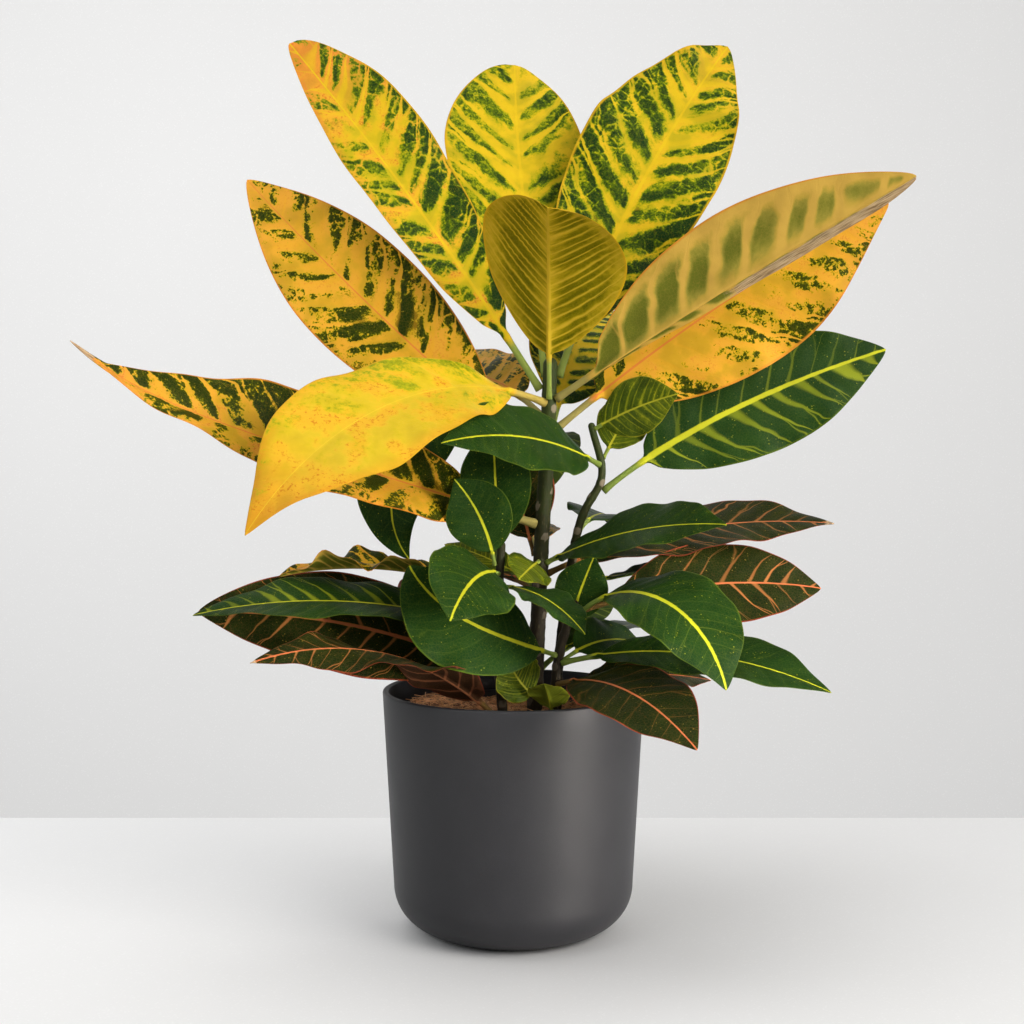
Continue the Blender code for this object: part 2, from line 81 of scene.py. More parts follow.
# Leaves: height is where the petiole leaves its stem, heading and rise its direction there, and droop how far it
# has turned down by the tip. bend puts the droop near the tip when it is over 1. sway turns the heading on the
# way. roll tilts the blade about its midrib, twist adds to it up to the tip, and fold lifts both halves. belly is
# where the blade is widest, and blunt over 1 makes pointed ends.
Leaf = namedtuple("Leaf", "name kind stem height heading rise droop length width petiole roll "
                          "fold belly blunt bend sway twist")
Leaf.__new__.__defaults__ = (10, 0.5, 1.5, 1, 0, 0)
LEAVES = [
    Leaf("crown_upper_left", "gold", "main", 0.378, 175, 58, 8, 0.258, 0.066, 0.043, -68, 8, 0.58, 1.4),
    Leaf("crown_back", "gold", "main", 0.388, 118, 75, 14, 0.226, 0.108, 0.035, 5, 10, 0.60, 1.3, 1, -28),
    Leaf("crown_front", "gold", "main", 0.372, 268, 83, 68, 0.126, 0.098, 0.030, -22, 15, 0.56, 1.4, 1.2),
    Leaf("crown_upper_right", "gold", "main", 0.388, 31, 68, 18, 0.258, 0.110, 0.035, 58, 6, 0.55, 1.4),
    Leaf("crown_right", "amber", "main", 0.350, 355, 40, 12, 0.238, 0.100, 0.035, 88, 3),
    Leaf("crown_right_front", "amber", "main", 0.372, 333, 31, 5, 0.246, 0.072, 0.032, -48, 35),
    Leaf("crown_left", "amber", "main", 0.332, 170, 39, -8, 0.246, 0.084, 0.045, -80, 5),
    Leaf("long_left", "amber", "main", 0.283, 195, 17, -25, 0.292, 0.084, 0.045, -50, 25, 0.46, 1.5, 6, 19),
    Leaf("yellow_front", "yellow", "main", 0.370, 225, 15, 67, 0.243, 0.093, 0.035, -32, 8),
    Leaf("inner_front", "striped", "right", 0.325, 228, 21, 32, 0.144, 0.058, 0.014, -50, 5, 0.42),
    Leaf("inner_rib", "red_rib", "main", 0.262, 140, 72, 5, 0.075, 0.054, 0.012, -50, 12),
    Leaf("young_right", "young", "right", 0.350, 330, 28, 16, 0.060, 0.040, 0.006, 85, 12),
    Leaf("green_right", "striped", "right", 0.310, 8, 41, 24, 0.195, 0.078, 0.035, 80, 5, 0.5, 1.5, 0.6),
    Leaf("mottled_young", "young", "right", 0.330, 42, 55, 10, 0.045, 0.036, 0.008, 48),
    Leaf("middle_right_front", "striped", "main", 0.257, 321, 25, 26, 0.138, 0.062, 0.010, 30, 8),
    Leaf("middle_right", "red_rib", "main", 0.248, 22, 23, 27, 0.187, 0.076, 0.025, 22, 5, 0.5, 1.5, 1, -40),
    Leaf("middle_right_low", "striped", "right", 0.240, 12, 12, 8, 0.085, 0.040, 0.025, 0),
    Leaf("red_rib_right", "red_rib", "low", 0.226, 9, 18, 27, 0.146, 0.064, 0.030, 54, 5),
    Leaf("hanging_right_front", "striped", "low", 0.222, 315, 44, 118, 0.125, 0.070, 0.033, 20),
    Leaf("low_right", "striped", "low", 0.190, 338, 16, 38, 0.160, 0.061, 0.025, 21, 12),
    Leaf("low_right_inner", "red_rib", "low", 0.168, 22, 16, 30, 0.100, 0.048, 0.020, 20, 12),
    Leaf("shade_right", "striped", "low", 0.190, 42, 26, 50, 0.075, 0.045, 0.015, 30, 12),
    Leaf("rim_right_front", "red_rib", "low", 0.174, 300, 17, 47, 0.140, 0.060, 0.020, 18, 5),
    Leaf("upright_inner", "striped", "right", 0.205, 320, 72, 10, 0.050, 0.036, 0.012, 130, 12),
    Leaf("bright_inner", "young", "main", 0.258, 252, -8, 6, 0.040, 0.034, 0.006, -35),
    Leaf("upright_left", "striped", "front", 0.262, 110, 84, 4, 0.080, 0.048, 0.012, -20, 12),
    Leaf("upright_left_front", "striped", "front", 0.257, 205, 80, 34, 0.058, 0.044, 0.008, -112, 12),
    Leaf("small_left_back", "young", "main", 0.238, 148, 29, 20, 0.060, 0.032, 0.020, -20, 12),
    Leaf("broad_left_front", "striped", "low", 0.195, 215, 19, -44, 0.112, 0.073, 0.012, -63, 3, 0.56, 1.5, 2.5,
         -45),
    Leaf("small_front_left", "striped", "front", 0.252, 248, 13, 60, 0.078, 0.062, 0.008, -38),
    Leaf("small_front_right", "striped", "front", 0.243, 315, 3, 44, 0.072, 0.040, 0.010, 0),
    Leaf("curled_left", "red_rib", "front", 0.238, 180, 22, 35, 0.124, 0.045, 0.025, 0, 25),
    Leaf("low_left_upper", "striped", "front", 0.212, 190, 20, 32, 0.178, 0.058, 0.025, -20, 12),
    Leaf("red_rib_left", "red_rib", "main", 0.166, 193, 30, 30, 0.202, 0.072, 0.035, -60, 6),
    Leaf("rim_left_front", "red_rib", "front", 0.152, 208, 47, 62, 0.170, 0.053, 0.020, 34, -8, 0.5, 1.5, 1, 0,
         -80),
    Leaf("sprout_left", "young", "low", 0.158, 195, 28, -45, 0.034, 0.036, 0.014, -75, 15),
    Leaf("sprout_right", "young", "low", 0.154, 256, 50, 10, 0.028, 0.028, 0.006, 0),
    Leaf("hanging_left", "striped", "main", 0.352, 180, 22, 150, 0.130, 0.052, 0.050, -80, 10, 0.5, 1.5, 1.2),
    Leaf("back_high", "gold", "main", 0.345, 75, 48, 40, 0.210, 0.085, 0.035, 30),
    Leaf("back_left_high", "amber", "main", 0.358, 122, 30, 45, 0.200, 0.080, 0.035, -20),
    Leaf("back_right_high", "amber", "main", 0.262, 100, 20, 35, 0.200, 0.078, 0.035, 20),
    Leaf("back_middle", "striped", "main", 0.338, 94, 16, 60, 0.210, 0.078, 0.040, 0),
    Leaf("back_right", "striped", "right", 0.278, 74, 14, 36, 0.140, 0.060, 0.030, 10),
    Leaf("back_left", "red_rib", "main", 0.235, 120, 15, 50, 0.190, 0.070, 0.030, 0),
    Leaf("back_low", "striped", "main", 0.215, 78, 15, 50, 0.190, 0.070, 0.030, 0),
    Leaf("back_left_low", "red_rib", "main", 0.190, 145, 25, 50, 0.170, 0.065, 0.030, 0),
    Leaf("back_right_low", "striped", "main", 0.180, 50, 25, 50, 0.160, 0.062, 0.030, 0),
]


# How each blade departs from the plain one: width of its two halves, ripple of the margin, extra fold towards tip
# and base in degrees, how far the halves arch over, how pointed the tip is, the share of the length that is a
# narrow drip tip, the number of side veins, how much nearer the tip each half is widest, and how far its lobes
# reach past the end of the midrib.
Shape = namedtuple("Shape", "minus plus wave waves phase fold_tip fold_base arch point beak veins "
                            "lean_minus lean_plus notch")
Shape.__new__.__defaults__ = (1, 1, 0.0016, 2.5, 0, 0, 0, 0.8, 0.5, 0, 13, 0, 0, 0)
SHAPES = {
    "crown_upper_left": Shape(1.22, 0.75, 0.0022, 2.0, 0.1, point=0.1, veins=14, lean_minus=0.05, lean_plus=-0.06),
    "crown_back": Shape(0.95, 1.05, 0.0015, 2.0, 0.0, arch=0.6, point=0.2, veins=11, lean_minus=-0.06),
    "crown_front": Shape(1.05, 1.05, 0.0020, 1.0, 0.25, point=0, veins=19, notch=0.006),
    "crown_upper_right": Shape(0.9, 1, 0.0045, 3.0, 0.2, point=0.35, veins=13),
    "crown_right": Shape(1.05, 1.05, 0.0030, 3.0, 0.4, veins=12),
    "crown_right_front": Shape(1.2, 0.35, 0.0015, 1.5, 0.0, 10, point=0.3, veins=10, lean_plus=0.25),
    "crown_left": Shape(1, 1, 0.0015, 2.0, 0.0, veins=13, point=0.3),
    "long_left": Shape(1, 0.9, 0.0030, 2.5, 0.3, beak=0.07, veins=13, lean_plus=-0.1),
    "yellow_front": Shape(0.9, 1, 0.0035, 2.0, 0.2, point=0.7, veins=11),
    "young_right": Shape(veins=11, wave=0.0008),
    "green_right": Shape(1, 1, 0.0020, 3.0, 0.5, veins=11, point=0.3),
    "curled_left": Shape(1, 1, 0.0060, 2.5, 0.2, 30, veins=12),
    "red_rib_right": Shape(1, 1, 0.0016, 2.0, 0.3, veins=9, point=0.3),
    "red_rib_left": Shape(1, 1, 0.0016, 2.0, 0.6, veins=11, point=0.3),
    "middle_right": Shape(1, 1, 0.0020, 2.5, 0.1, veins=11),
    "rim_right_front": Shape(1, 1, 0.0016, 2.0, 0.4, veins=10),
    "rim_left_front": Shape(1.1, 1.2, 0.0030, 3.0, 0.4, veins=14, lean_minus=-0.12, lean_plus=-0.12),
}
PLAIN_SHAPE = Shape()

# How green each leaf is at its base and tip and what its two margins add, how flushed with red it is, its seed,
# how strongly the side veins of its two halves and the net between them show, how wide its midrib is, and what
# share of its length from the tip and of its plus half from the margin has withered.
Tone = namedtuple("Tone", "base tip minus plus flush seed vein_minus vein_plus net rib dry dry_plus")
Tone.__new__.__defaults__ = (1, 1, 1, 1, 0, 0)
TONES = {
    "crown_upper_left": Tone(0.90, 0.46, 0.20, -0.10, 0.90, 1, 1, 0.8, 1.0, 1.0),
    "crown_back": Tone(0.66, 0.56, 0.00, 0.00, 0.06, 2, 1, 1, 0.3, 1.5),
    "crown_front": Tone(0.58, 0.50, 0.00, 0.00, 0.30, 3, 1, 1, 0.5, 1.6),
    "crown_upper_right": Tone(0.90, 0.60, 0.02, 0.02, 0.25, 4, 1, 1, 1.0, 1.4),
    "crown_right": Tone(0.52, 0.42, 0.12, 0.10, 0.45, 5, 0.8, 0.8, 0.5, 1.3),
    "crown_right_front": Tone(0.84, 0.24, 0.00, 0.00, 0.45, 6, 1, 1, 1, 1, 0, 0.8),
    "crown_left": Tone(0.78, 0.46, 0.10, -0.05, 0.40, 7, 1, 0.8, 0.7, 1.0),
    "long_left": Tone(0.80, 0.66, 0.10, -0.16, 0.85, 8, 1, 0.8, 0.6, 1.2, 0.08),
    "yellow_front": Tone(0.52, 0.24, 0.14, -0.04, 0.95, 9, 0.5, 0.5, 0.2, 1.0),
    "green_right": Tone(0.90, 0.86, 0.00, 0.00, 0.0, 10, 2.0, 0.6, 0.9, 2.1),
    "hanging_right_front": Tone(0.88, 0.86, 0.02, 0.02, 0.0, 17, 0.25, 0.25, 0.5, 1.9),
    "broad_left_front": Tone(0.88, 0.88, 0.02, 0.02, 0.0, 18, 0.12, 0.12, 0.4, 1.4),
    "low_left_upper": Tone(0.90, 0.86, 0.00, 0.00, 0.0, 11, 1.7, 0.4, 0.5, 1.0),
    "red_rib_right": Tone(0.90, 0.84, 0.00, 0.00, 0.8, 12, 1.2, 1.2, 0.8, 1.0),
    "red_rib_left": Tone(0.90, 0.84, 0.00, 0.00, 0.8, 13, 0.8, 1.0, 0.6, 1.6),
    "middle_right": Tone(0.90, 0.80, 0.00, 0.00, 0.8, 14, 1.0, 1.0, 0.8, 1.2, 0.05),
    "curled_left": Tone(1.00, 0.86, 0.00, -0.10, 0.7, 19, 1, 1, 0.8, 1.0),
    "small_front_left": Tone(0.90, 0.86, 0.00, 0.00, 0.0, 15, 0.3, 0.3, 0.5, 1.4),
    "rim_left_front": Tone(0.88, 0.84, 0.00, 0.00, 0.8, 16, 0.8, 0.8, 0.6, 1.2, 0.04),
}
KIND_TONES = {
    "gold": Tone(0.86, 0.66, 0.05, 0.05, 0.1, 0),
    "amber": Tone(0.70, 0.52, 0.05, 0.05, 0.5, 0),
    "yellow": Tone(0.34, 0.28, 0.05, 0.0, 0.1, 0),
    "striped": Tone(0.88, 0.88, 0.02, 0.02, 0.0, 0, 0.12, 0.12, 0.4),
    "red_rib": Tone(0.88, 0.84, 0.0, 0.0, 0.8, 0, 0.35, 0.35, 0.5),
    "young": Tone(0.74, 0.70, 0.0, 0.0, 0.0, 0, 0.8, 0.8),
}
LOOKS = {"curled_left": "amber"}       # a leaf that has turned, and no longer looks like its kind

STATION_SPACING = 0.0022        # of the rings along a blade
FEWEST_STATIONS = 32
PETIOLE_STATIONS = 12
PETIOLE_RADIUS = 0.0009         # of the smallest leaf's petiole
PETIOLE_GROWTH = 0.006          # added to the radius for each metre of blade
TIP_RADIUS = 0.0003
GAP = 0.0003                    # from a stem's surface to where a petiole's length is counted from
ROOTED = 0.0012                 # how far a petiole reaches into its stem
FOOT_SWELL = 0.35               # how much thicker a petiole is at its stem
BASE_SWELL = 0.22               # how much thicker it is within BASE_LENGTH of the blade
BASE_LENGTH = 0.004

STEM_SIDES = 28
STEM_STEPS = 36                 # rings between two points of a stem
FIRST_SCAR = 0.012              # from the stem's foot
LAST_SCAR = 0.02                # how far the last one stays from the tip at least
SCAR_SPACING = (0.008, 0.014)
SCAR_TURN = 2.4                 # from one scar to the next, in radians

DOME = 0.003                    # how far the potting mix rises from its edge to the middle
Heap = namedtuple("Heap", "x y radius height")
HEAP = Heap(-0.052, -0.002, 0.034, 0.012)        # where the potting mix lies highest

# Lights: a rectangle of width by height at a place, aimed at a target, with its spread in degrees. Each takes its
# power from the setting of its name.
Lamp = namedtuple("Lamp", "name place target width height colour spread")
LAMPS = [
    Lamp("key", (1.65, -1.35, 1.25), (0, 0, 0.3), 1.5, 1.5, (1.0, 0.97, 0.93), 180),
    Lamp("strip", (1.30, -0.95, 0.22), (0, 0, 0.08), 0.3, 0.5, (1.0, 0.93, 0.86), 25),
    Lamp("fill", (-1.8, -1.5, 1.2), (0, 0, 0.3), 1.6, 1.6, (0.95, 0.98, 1.0), 180),
    Lamp("top", (-0.2, -0.2, 2.4), (0, 0, 0.3), 1.4, 1.4, (1.0, 1.0, 1.0), 180),
    Lamp("back", (-1.4, 0.4, 1.3), (-1.0, 2.6, 0.0), 2.4, 1.6, (1.0, 1.0, 1.0), 180),
]
CAMERA_PLACE = (-0.0009, -1.0, 0.3316)
CAMERA_DIP = 2.287              # in degrees below the horizon


# Settings -----------------------------------------------------------------------------------------------------
def colour_property(name, description, default):
    return FloatVectorProperty(name=name, description=description, default=default, subtype="COLOR", size=3,
                               min=0, max=1)


def length_property(name, description, default, low, high):
    return FloatProperty(name=name, description=description, default=default, min=low, max=high, unit="LENGTH")


def power_property(name, description, default):
    return FloatProperty(name=name, description=description, default=default, min=0, unit="POWER")


class LeafSettings(PropertyGroup):
    thickness: length_property("Thickness", "Thickness of the blades", 0.0006, 0.0003, 0.002)
    quilting: length_property("Quilting", "How far the blade swells between its side veins", 0.0006, 0, 0.003)
    ridge: length_property("Vein ridges", "How far side veins stand out below", 0.0003, 0, 0.001)
    gloss: FloatProperty(name="Roughness", description="Roughness of the upper faces", default=0.36, min=0.1,
                         max=0.9, subtype="FACTOR")
    gold: colour_property("Gold", "Ground colour of the youngest crown leaves", (0.53, 0.355, 0.010))
    orange: colour_property("Orange", "Ground colour of the older crown leaves", (0.56, 0.29, 0.020))
    green: colour_property("Dark green", "Blotches, and the ground of the lower leaves", (0.008, 0.028, 0.0045))
    lime: colour_property("Lime", "Midrib and side veins of the lower leaves", (0.40, 0.40, 0.016))
    pink: colour_property("Pink", "Midrib and veins of the red-veined leaves", (0.50, 0.14, 0.05))


class StemSettings(PropertyGroup):
    scar: length_property("Leaf scars", "Radius of the scars left by fallen leaves", 0.0026, 0, 0.006)
    low_colour: colour_property("Old bark", "Bark colour at the foot", (0.012, 0.008, 0.003))
    high_colour: colour_property("Young bark", "Bark colour below the crown", (0.022, 0.034, 0.004))


class MixSettings(PropertyGroup):
    fibre_length: length_property("Fibre length", "Length of the longest coir fibres", 0.020, 0.004, 0.05)
    fibre_radius: length_property("Fibre radius", "Radius of the coir fibres", 0.00026, 0.0001, 0.001)
    crumb_radius: length_property("Crumb size", "Radius of the largest crumbs", 0.0013, 0.0002, 0.005)
    fibres: IntProperty(name="Fibres", description="Coir fibres on the surface", default=1500, min=0, max=3000)
    crumbs: IntProperty(name="Crumbs", description="Crumbs on the surface", default=1500, min=0, max=5000)
    colour: colour_property("Colour", "Colour of the dry fibres", (0.72, 0.37, 0.17))


class PotSettings(PropertyGroup):
    wall: length_property("Wall", "Thickness of the cachepot's wall", 0.004, 0.002, 0.01)
    corner: length_property("Corner", "Radius of the lower corner", 0.030, 0.005, 0.05)
    base_radius: length_property("Base radius", "Radius of the side above the corner", 0.0845, 0.04, 0.12)
    colour: colour_property("Glaze", "Colour of the matt glaze", (0.013, 0.013, 0.015))
    liner_colour: colour_property("Liner", "Colour of the nursery pot", (0.012, 0.012, 0.012))


class StageSettings(PropertyGroup):
    floor_colour: colour_property("Floor", "Colour of the table", (0.83, 0.83, 0.83))
    wall_colour: colour_property("Wall", "Colour of the backdrop", (0.79, 0.79, 0.79))
    depth: length_property("Table depth", "Distance from the pot's axis to the table's back edge", 0.292, 0.25, 1)
    key: power_property("Key light", "Power of the large light at the front right", 60)
    fill: power_property("Fill light", "Power of the light at the left", 17)
    top: power_property("Top light", "Power of the light above", 10)
    strip: power_property("Strip light", "Power of the narrow low light at the right", 1.3)
    back: power_property("Backdrop light", "Power of the light on the backdrop", 18)
    sky: FloatProperty(name="Surround", description="Strength of the even light all round", default=0.50, min=0)


# Tools for node trees -----------------------------------------------------------------------------------------
class Value:
    """A number, vector or colour in a node tree. Sums and products of numbers become Math nodes."""

    def __init__(self, tree, socket):
        self.tree, self.socket = tree, socket

    def __add__(self, other):
        return calc("ADD", self, other)

    def __sub__(self, other):
        return calc("SUBTRACT", self, other)

    def __rsub__(self, other):
        return calc("SUBTRACT", other, self)

    def __mul__(self, other):
        return calc("MULTIPLY", self, other)

    def __pow__(self, other):
        return calc("POWER", self, other)

    def __abs__(self):
        return calc("ABSOLUTE", self)

    __radd__, __rmul__ = __add__, __mul__


def node(tree, kind, **settings):
    made = tree.nodes.new(kind)
    for name, value in settings.items():
        setattr(made, name, value)
    return made


def feed(socket, value):
    """Links a socket to a value of its tree, or sets it to a number."""
    if isinstance(value, Value):
        value.tree.links.new(value.socket, socket)
    else:
        socket.default_value = value


def worked(kind, inputs, output=0, **settings):
    """A new node's output. inputs maps names or numbers of sockets to what feeds them."""
    tree = next(value.tree for value in inputs.values() if isinstance(value, Value))
    made = node(tree, kind, **settings)
    for name, value in inputs.items():
        feed(made.inputs[name], value)
    return Value(tree, made.outputs[output])


def calc(operation, *values):
    return worked("ShaderNodeMath", dict(enumerate(values)), operation=operation)


def most(first, second):
    return calc("MAXIMUM", first, second)


def least(first, second):
    return calc("MINIMUM", first, second)


def fraction(value):
    return calc("FRACT", value)


def smooth(value, low, high, start=0.0, end=1.0):
    """Goes smoothly from start to end while value goes from low to high."""
    return worked("ShaderNodeMapRange", dict(enumerate((value, low, high, start, end))),
                  interpolation_type="SMOOTHSTEP")


def vector(x, y, z):
    return worked("ShaderNodeCombineXYZ", {"X": x, "Y": y, "Z": z})


def split(value):
    """The three parts of a vector."""
    made = node(value.tree, "ShaderNodeSeparateXYZ")
    feed(made.inputs[0], value)
    return [Value(value.tree, part) for part in made.outputs]


def noise_value(place, scale, detail=3.0, roughness=0.5, distortion=0.0):
    return worked("ShaderNodeTexNoise", {"Vector": place, "Scale": scale, "Detail": detail, "Roughness": roughness,
                                         "Distortion": distortion}, "Fac")


def cells(place, scale, feature="F1"):
    """Distance to the middle of the nearest cell, or to its edge."""
    return worked("ShaderNodeTexVoronoi", {"Vector": place, "Scale": scale}, "Distance", feature=feature)


def mixed(factor, first, second, blend="MIX"):
    """Two colours mixed. Each is a value or red, green and blue."""
    first, second = (colour if isinstance(colour, Value) else (*colour, 1) for colour in (first, second))
    return worked("ShaderNodeMix", {"Factor": factor, 6: first, 7: second}, 2, data_type="RGBA", blend_type=blend)


def laid_over(colour, *layers):
    """A colour with each (amount, colour) mixed over it in turn."""
    for amount, layer in layers:
        colour = mixed(amount, colour, layer)
    return colour


def ramp(value, stops):
    """A colour ramp through (position, colour) stops."""
    made = node(value.tree, "ShaderNodeValToRGB")
    while len(made.color_ramp.elements) < len(stops):
        made.color_ramp.elements.new(0.5)
    for element, (position, colour) in zip(made.color_ramp.elements, stops):
        element.position = position
        element.color = (*colour, 1)
    feed(made.inputs["Fac"], value)
    return Value(value.tree, made.outputs["Color"])


def bump(height, strength, distance):
    return worked("ShaderNodeBump", {"Strength": strength, "Distance": distance, "Height": height}, "Normal")


def attribute(tree, name):
    """The three parts of a mesh's vector attribute."""
    return split(Value(tree, node(tree, "ShaderNodeAttribute", attribute_name=name).outputs["Vector"]))


def object_place(tree):
    return Value(tree, node(tree, "ShaderNodeTexCoord").outputs["Object"])


def new_group(name, inputs, outputs, kind="ShaderNodeTree"):
    """A node group with its input values by name and its output sockets. An input without a default and every
    output of a Geometry Nodes tree are geometry, and the rest are numbers."""
    tree = bpy.data.node_groups.new(name, kind)
    for label, default in inputs.items():
        if default is None:
            tree.interface.new_socket(name=label, in_out="INPUT", socket_type="NodeSocketGeometry")
        else:
            socket = tree.interface.new_socket(name=label, in_out="INPUT", socket_type="NodeSocketFloat")
            socket.default_value = default
    made = "NodeSocketGeometry" if kind == "GeometryNodeTree" else "NodeSocketFloat"
    for label in outputs:
        tree.interface.new_socket(name=label, in_out="OUTPUT", socket_type=made)
    given = node(tree, "NodeGroupInput").outputs
    return tree, {label: Value(tree, given[label]) for label in inputs}, node(tree, "NodeGroupOutput").inputs


def use_group(tree, group, inputs):
    """A group's output values by name, with numbers for its inputs."""
    made = node(tree, "ShaderNodeGroup", node_tree=group)
    for name, value in inputs.items():
        feed(made.inputs[name], value)
    return {socket.name: Value(tree, socket) for socket in made.outputs}


def new_material(name, sheen=0.5):
    """A material with its tree and the inputs of its shader."""
    material = bpy.data.materials.new(name)
    material.use_nodes = True
    tree = material.node_tree
    shader = tree.nodes["Principled BSDF"].inputs
    shader["Specular IOR Level"].default_value = sheen
    return material, tree, shader


# Shader groups and materials ----------------------------------------------------------------------------------
def leaf_pattern_group():
    """Where a croton's blade is green, and where its veins, midrib and margin run."""
    tree, given, out = new_group(
        "leaf pattern",
        {"Vein Width": 0.12, "Midrib Width": 0.2, "Depth": 0.5, "Patches": 1.0, "Streaks": 1.0, "Raggedness": 0.5,
         "Clear Band": 0.5, "Net": 0.3, "Ovals": 0.3, "Softness": 0.22},
        ("Green", "Below", "Veins", "Thin", "Midrib", "Margin", "Upper", "Petiole", "Flush", "Mottle", "Net",
         "Specks", "Stain", "Ageing", "Fibrous", "Fine", "Dry", "Height"))
    across, along, side = attribute(tree, "blade")
    count, sideways, lengthways = attribute(tree, "vein")
    cover, flush, seed = attribute(tree, "tone")
    vein_strength, net_strength, rib_strength = attribute(tree, "lines")
    withered = attribute(tree, "worn")[0]
    edge, off_rib = abs(across), abs(sideways)
    seed = seed * 7.31
    metric = vector(sideways, lengthways, seed)
    half_seed = calc("SIGN", across) * 3.7 + seed

    # Side veins: unevenly spaced wedges at the midrib that thin out, waver and fork towards the margin.
    spacing = noise_value(vector(count, 0.0, half_seed), 0.6, 1) - 0.5
    wobble = noise_value(metric, 0.6, 1) - 0.5
    passed = wobble * 0.8 * edge + (spacing * 1.3 + count)
    index = calc("ROUND", passed)
    chance = worked("ShaderNodeTexWhiteNoise", {"Vector": vector(index, half_seed, 0.0)}, "Value",
                    noise_dimensions="3D")
    off_vein = passed - index
    to_vein = abs(off_vein)
    width = given["Vein Width"] * (chance * 1.1 + 0.45) * (1.08 - edge) ** 1.3 * vein_strength + 0.012
    fork = fraction(chance * 7.3)
    past_fork = edge - (fork * 0.4 + 0.30)
    to_branch = abs(past_fork * -0.65 + off_vein * calc("SIGN", fork - 0.5))
    branched = smooth(past_fork, 0.0, 0.05) * smooth(fraction(chance * 29.3), 0.30, 0.35)
    branches = smooth(to_branch, 0.0, 0.06, 0.8, 0) * branched
    faint = fraction(chance * 13.7) * 0.65 + 0.35
    veins = most(smooth(to_vein, width * 0.3, width, 1, 0), branches) * (faint * least(vein_strength, 1.0))
    softness = given["Softness"] * (1.15 - edge)
    gap = 1.0 - (1.0 - smooth(to_vein, width * 0.4, width * 0.4 + softness)) * faint
    gap = least(gap, 1.0 - smooth(to_branch, 0.0, 0.14, 0.6, 0) * branched)

    rib = given["Midrib Width"] * rib_strength * (1.0 - along * 0.7)
    midrib = smooth(off_rib, rib * 0.6, rib * 1.15, 1, 0)
    near_rib = smooth(off_rib, rib * 0.8, given["Clear Band"] * rib_strength + rib, 1, 0)

    # Blotches: large patches, short strokes along the veins, fine ragged edges, and a net of pale lines.
    patches = noise_value(vector(passed, off_rib * 0.36, half_seed), 0.95, 1, 0.5, 0.4) - 0.5
    strokes = noise_value(vector(passed * 3.6, off_rib * 1.3, half_seed), 1.1, 3, 0.55, 0.4)
    flecks = noise_value(metric, 2.4, 4, 0.6)
    streaks = (flecks - strokes) * smooth(edge, 0.2, 0.6) + (strokes - 0.5)
    fine = noise_value(metric, 7.0, 4, 0.6)
    web_place = vector(wobble * 0.8 + off_rib, flecks * 0.5 + lengthways, half_seed)
    web = smooth(cells(web_place, 1.15, "DISTANCE_TO_EDGE"), 0.0, 0.13, 1, 0)
    web = web * (net_strength * smooth(edge, 0.2, 0.6, 0.4, 1))
    green = ((gap - 1.0) * given["Depth"] + cover + patches * given["Patches"] + streaks * given["Streaks"]
             + (fine - 0.5) * given["Raggedness"] - web * given["Net"] + near_rib * -0.45)

    # The underside shows them softly, in ovals between the veins.
    oval = (1.0 - least(((edge - 0.44) * 2.3) ** 2.0, 1.0)) * smooth(to_vein, 0.02, 0.27)
    below = (oval - 0.5) * given["Ovals"] + cover + patches * 0.5 + streaks * 0.45
    thin = most(smooth(to_vein, 0.03, 0.10, 1, 0), branches * 0.7)

    # Age and relief: pale specks, rusty stains, a flush from margin and tip, and the blade's own fine cells.
    dots = smooth(cells(metric, 4.5), 0.10, 0.24, 1, 0)
    sparse = smooth(noise_value(metric, 1.7, 2), 0.53, 0.61)
    mottle = noise_value(metric, 0.55, 3)
    stain = smooth(fine, 0.48, 0.58) * smooth(mottle, 0.46, 0.58) * smooth(flecks, 0.47, 0.57)
    ageing = least(smooth(edge, 0.70, 1.0) * 0.6 + smooth(along, 0.66, 0.96), 1.0)
    ageing = most(ageing, smooth(mottle, 0.44, 0.62, 0.0, 0.5))
    fibrous = noise_value(vector(sideways * 14.0, lengthways, seed), 0.9, 3)
    net = smooth(cells(metric, 5.0, "DISTANCE_TO_EDGE"), 0.0, 0.08, 1, 0)
    height = veins * -0.6 + (net * -0.35 + noise_value(metric, 22, 2) * 0.5)
    dry = (fine - 0.5) * 0.5 + withered

    made = {"Green": green, "Below": below, "Veins": veins, "Thin": thin, "Midrib": midrib,
            "Margin": smooth(edge, 0.955, 0.985), "Upper": smooth(side, -0.2, 0.2),
            "Petiole": smooth(along, -0.02, -0.25), "Flush": flush, "Mottle": mottle, "Net": net,
            "Specks": dots * sparse, "Stain": stain, "Ageing": ageing, "Fibrous": fibrous, "Fine": fine,
            "Dry": smooth(dry, 0.35, 0.60), "Height": height}
    for name, value in made.items():
        feed(out[name], value)
    return tree


# Leaf colours from bare ground to full blotch, of ribs, veins, margin, petiole, specks and blush, and of the
# underside; then the pattern's widths and strengths.
Palette = namedtuple("Palette", "ground rib vein margin petiole speck blush below vein_width rib_width depth "
                                "patches streaks raggedness clear net vein_strength ovals softness")


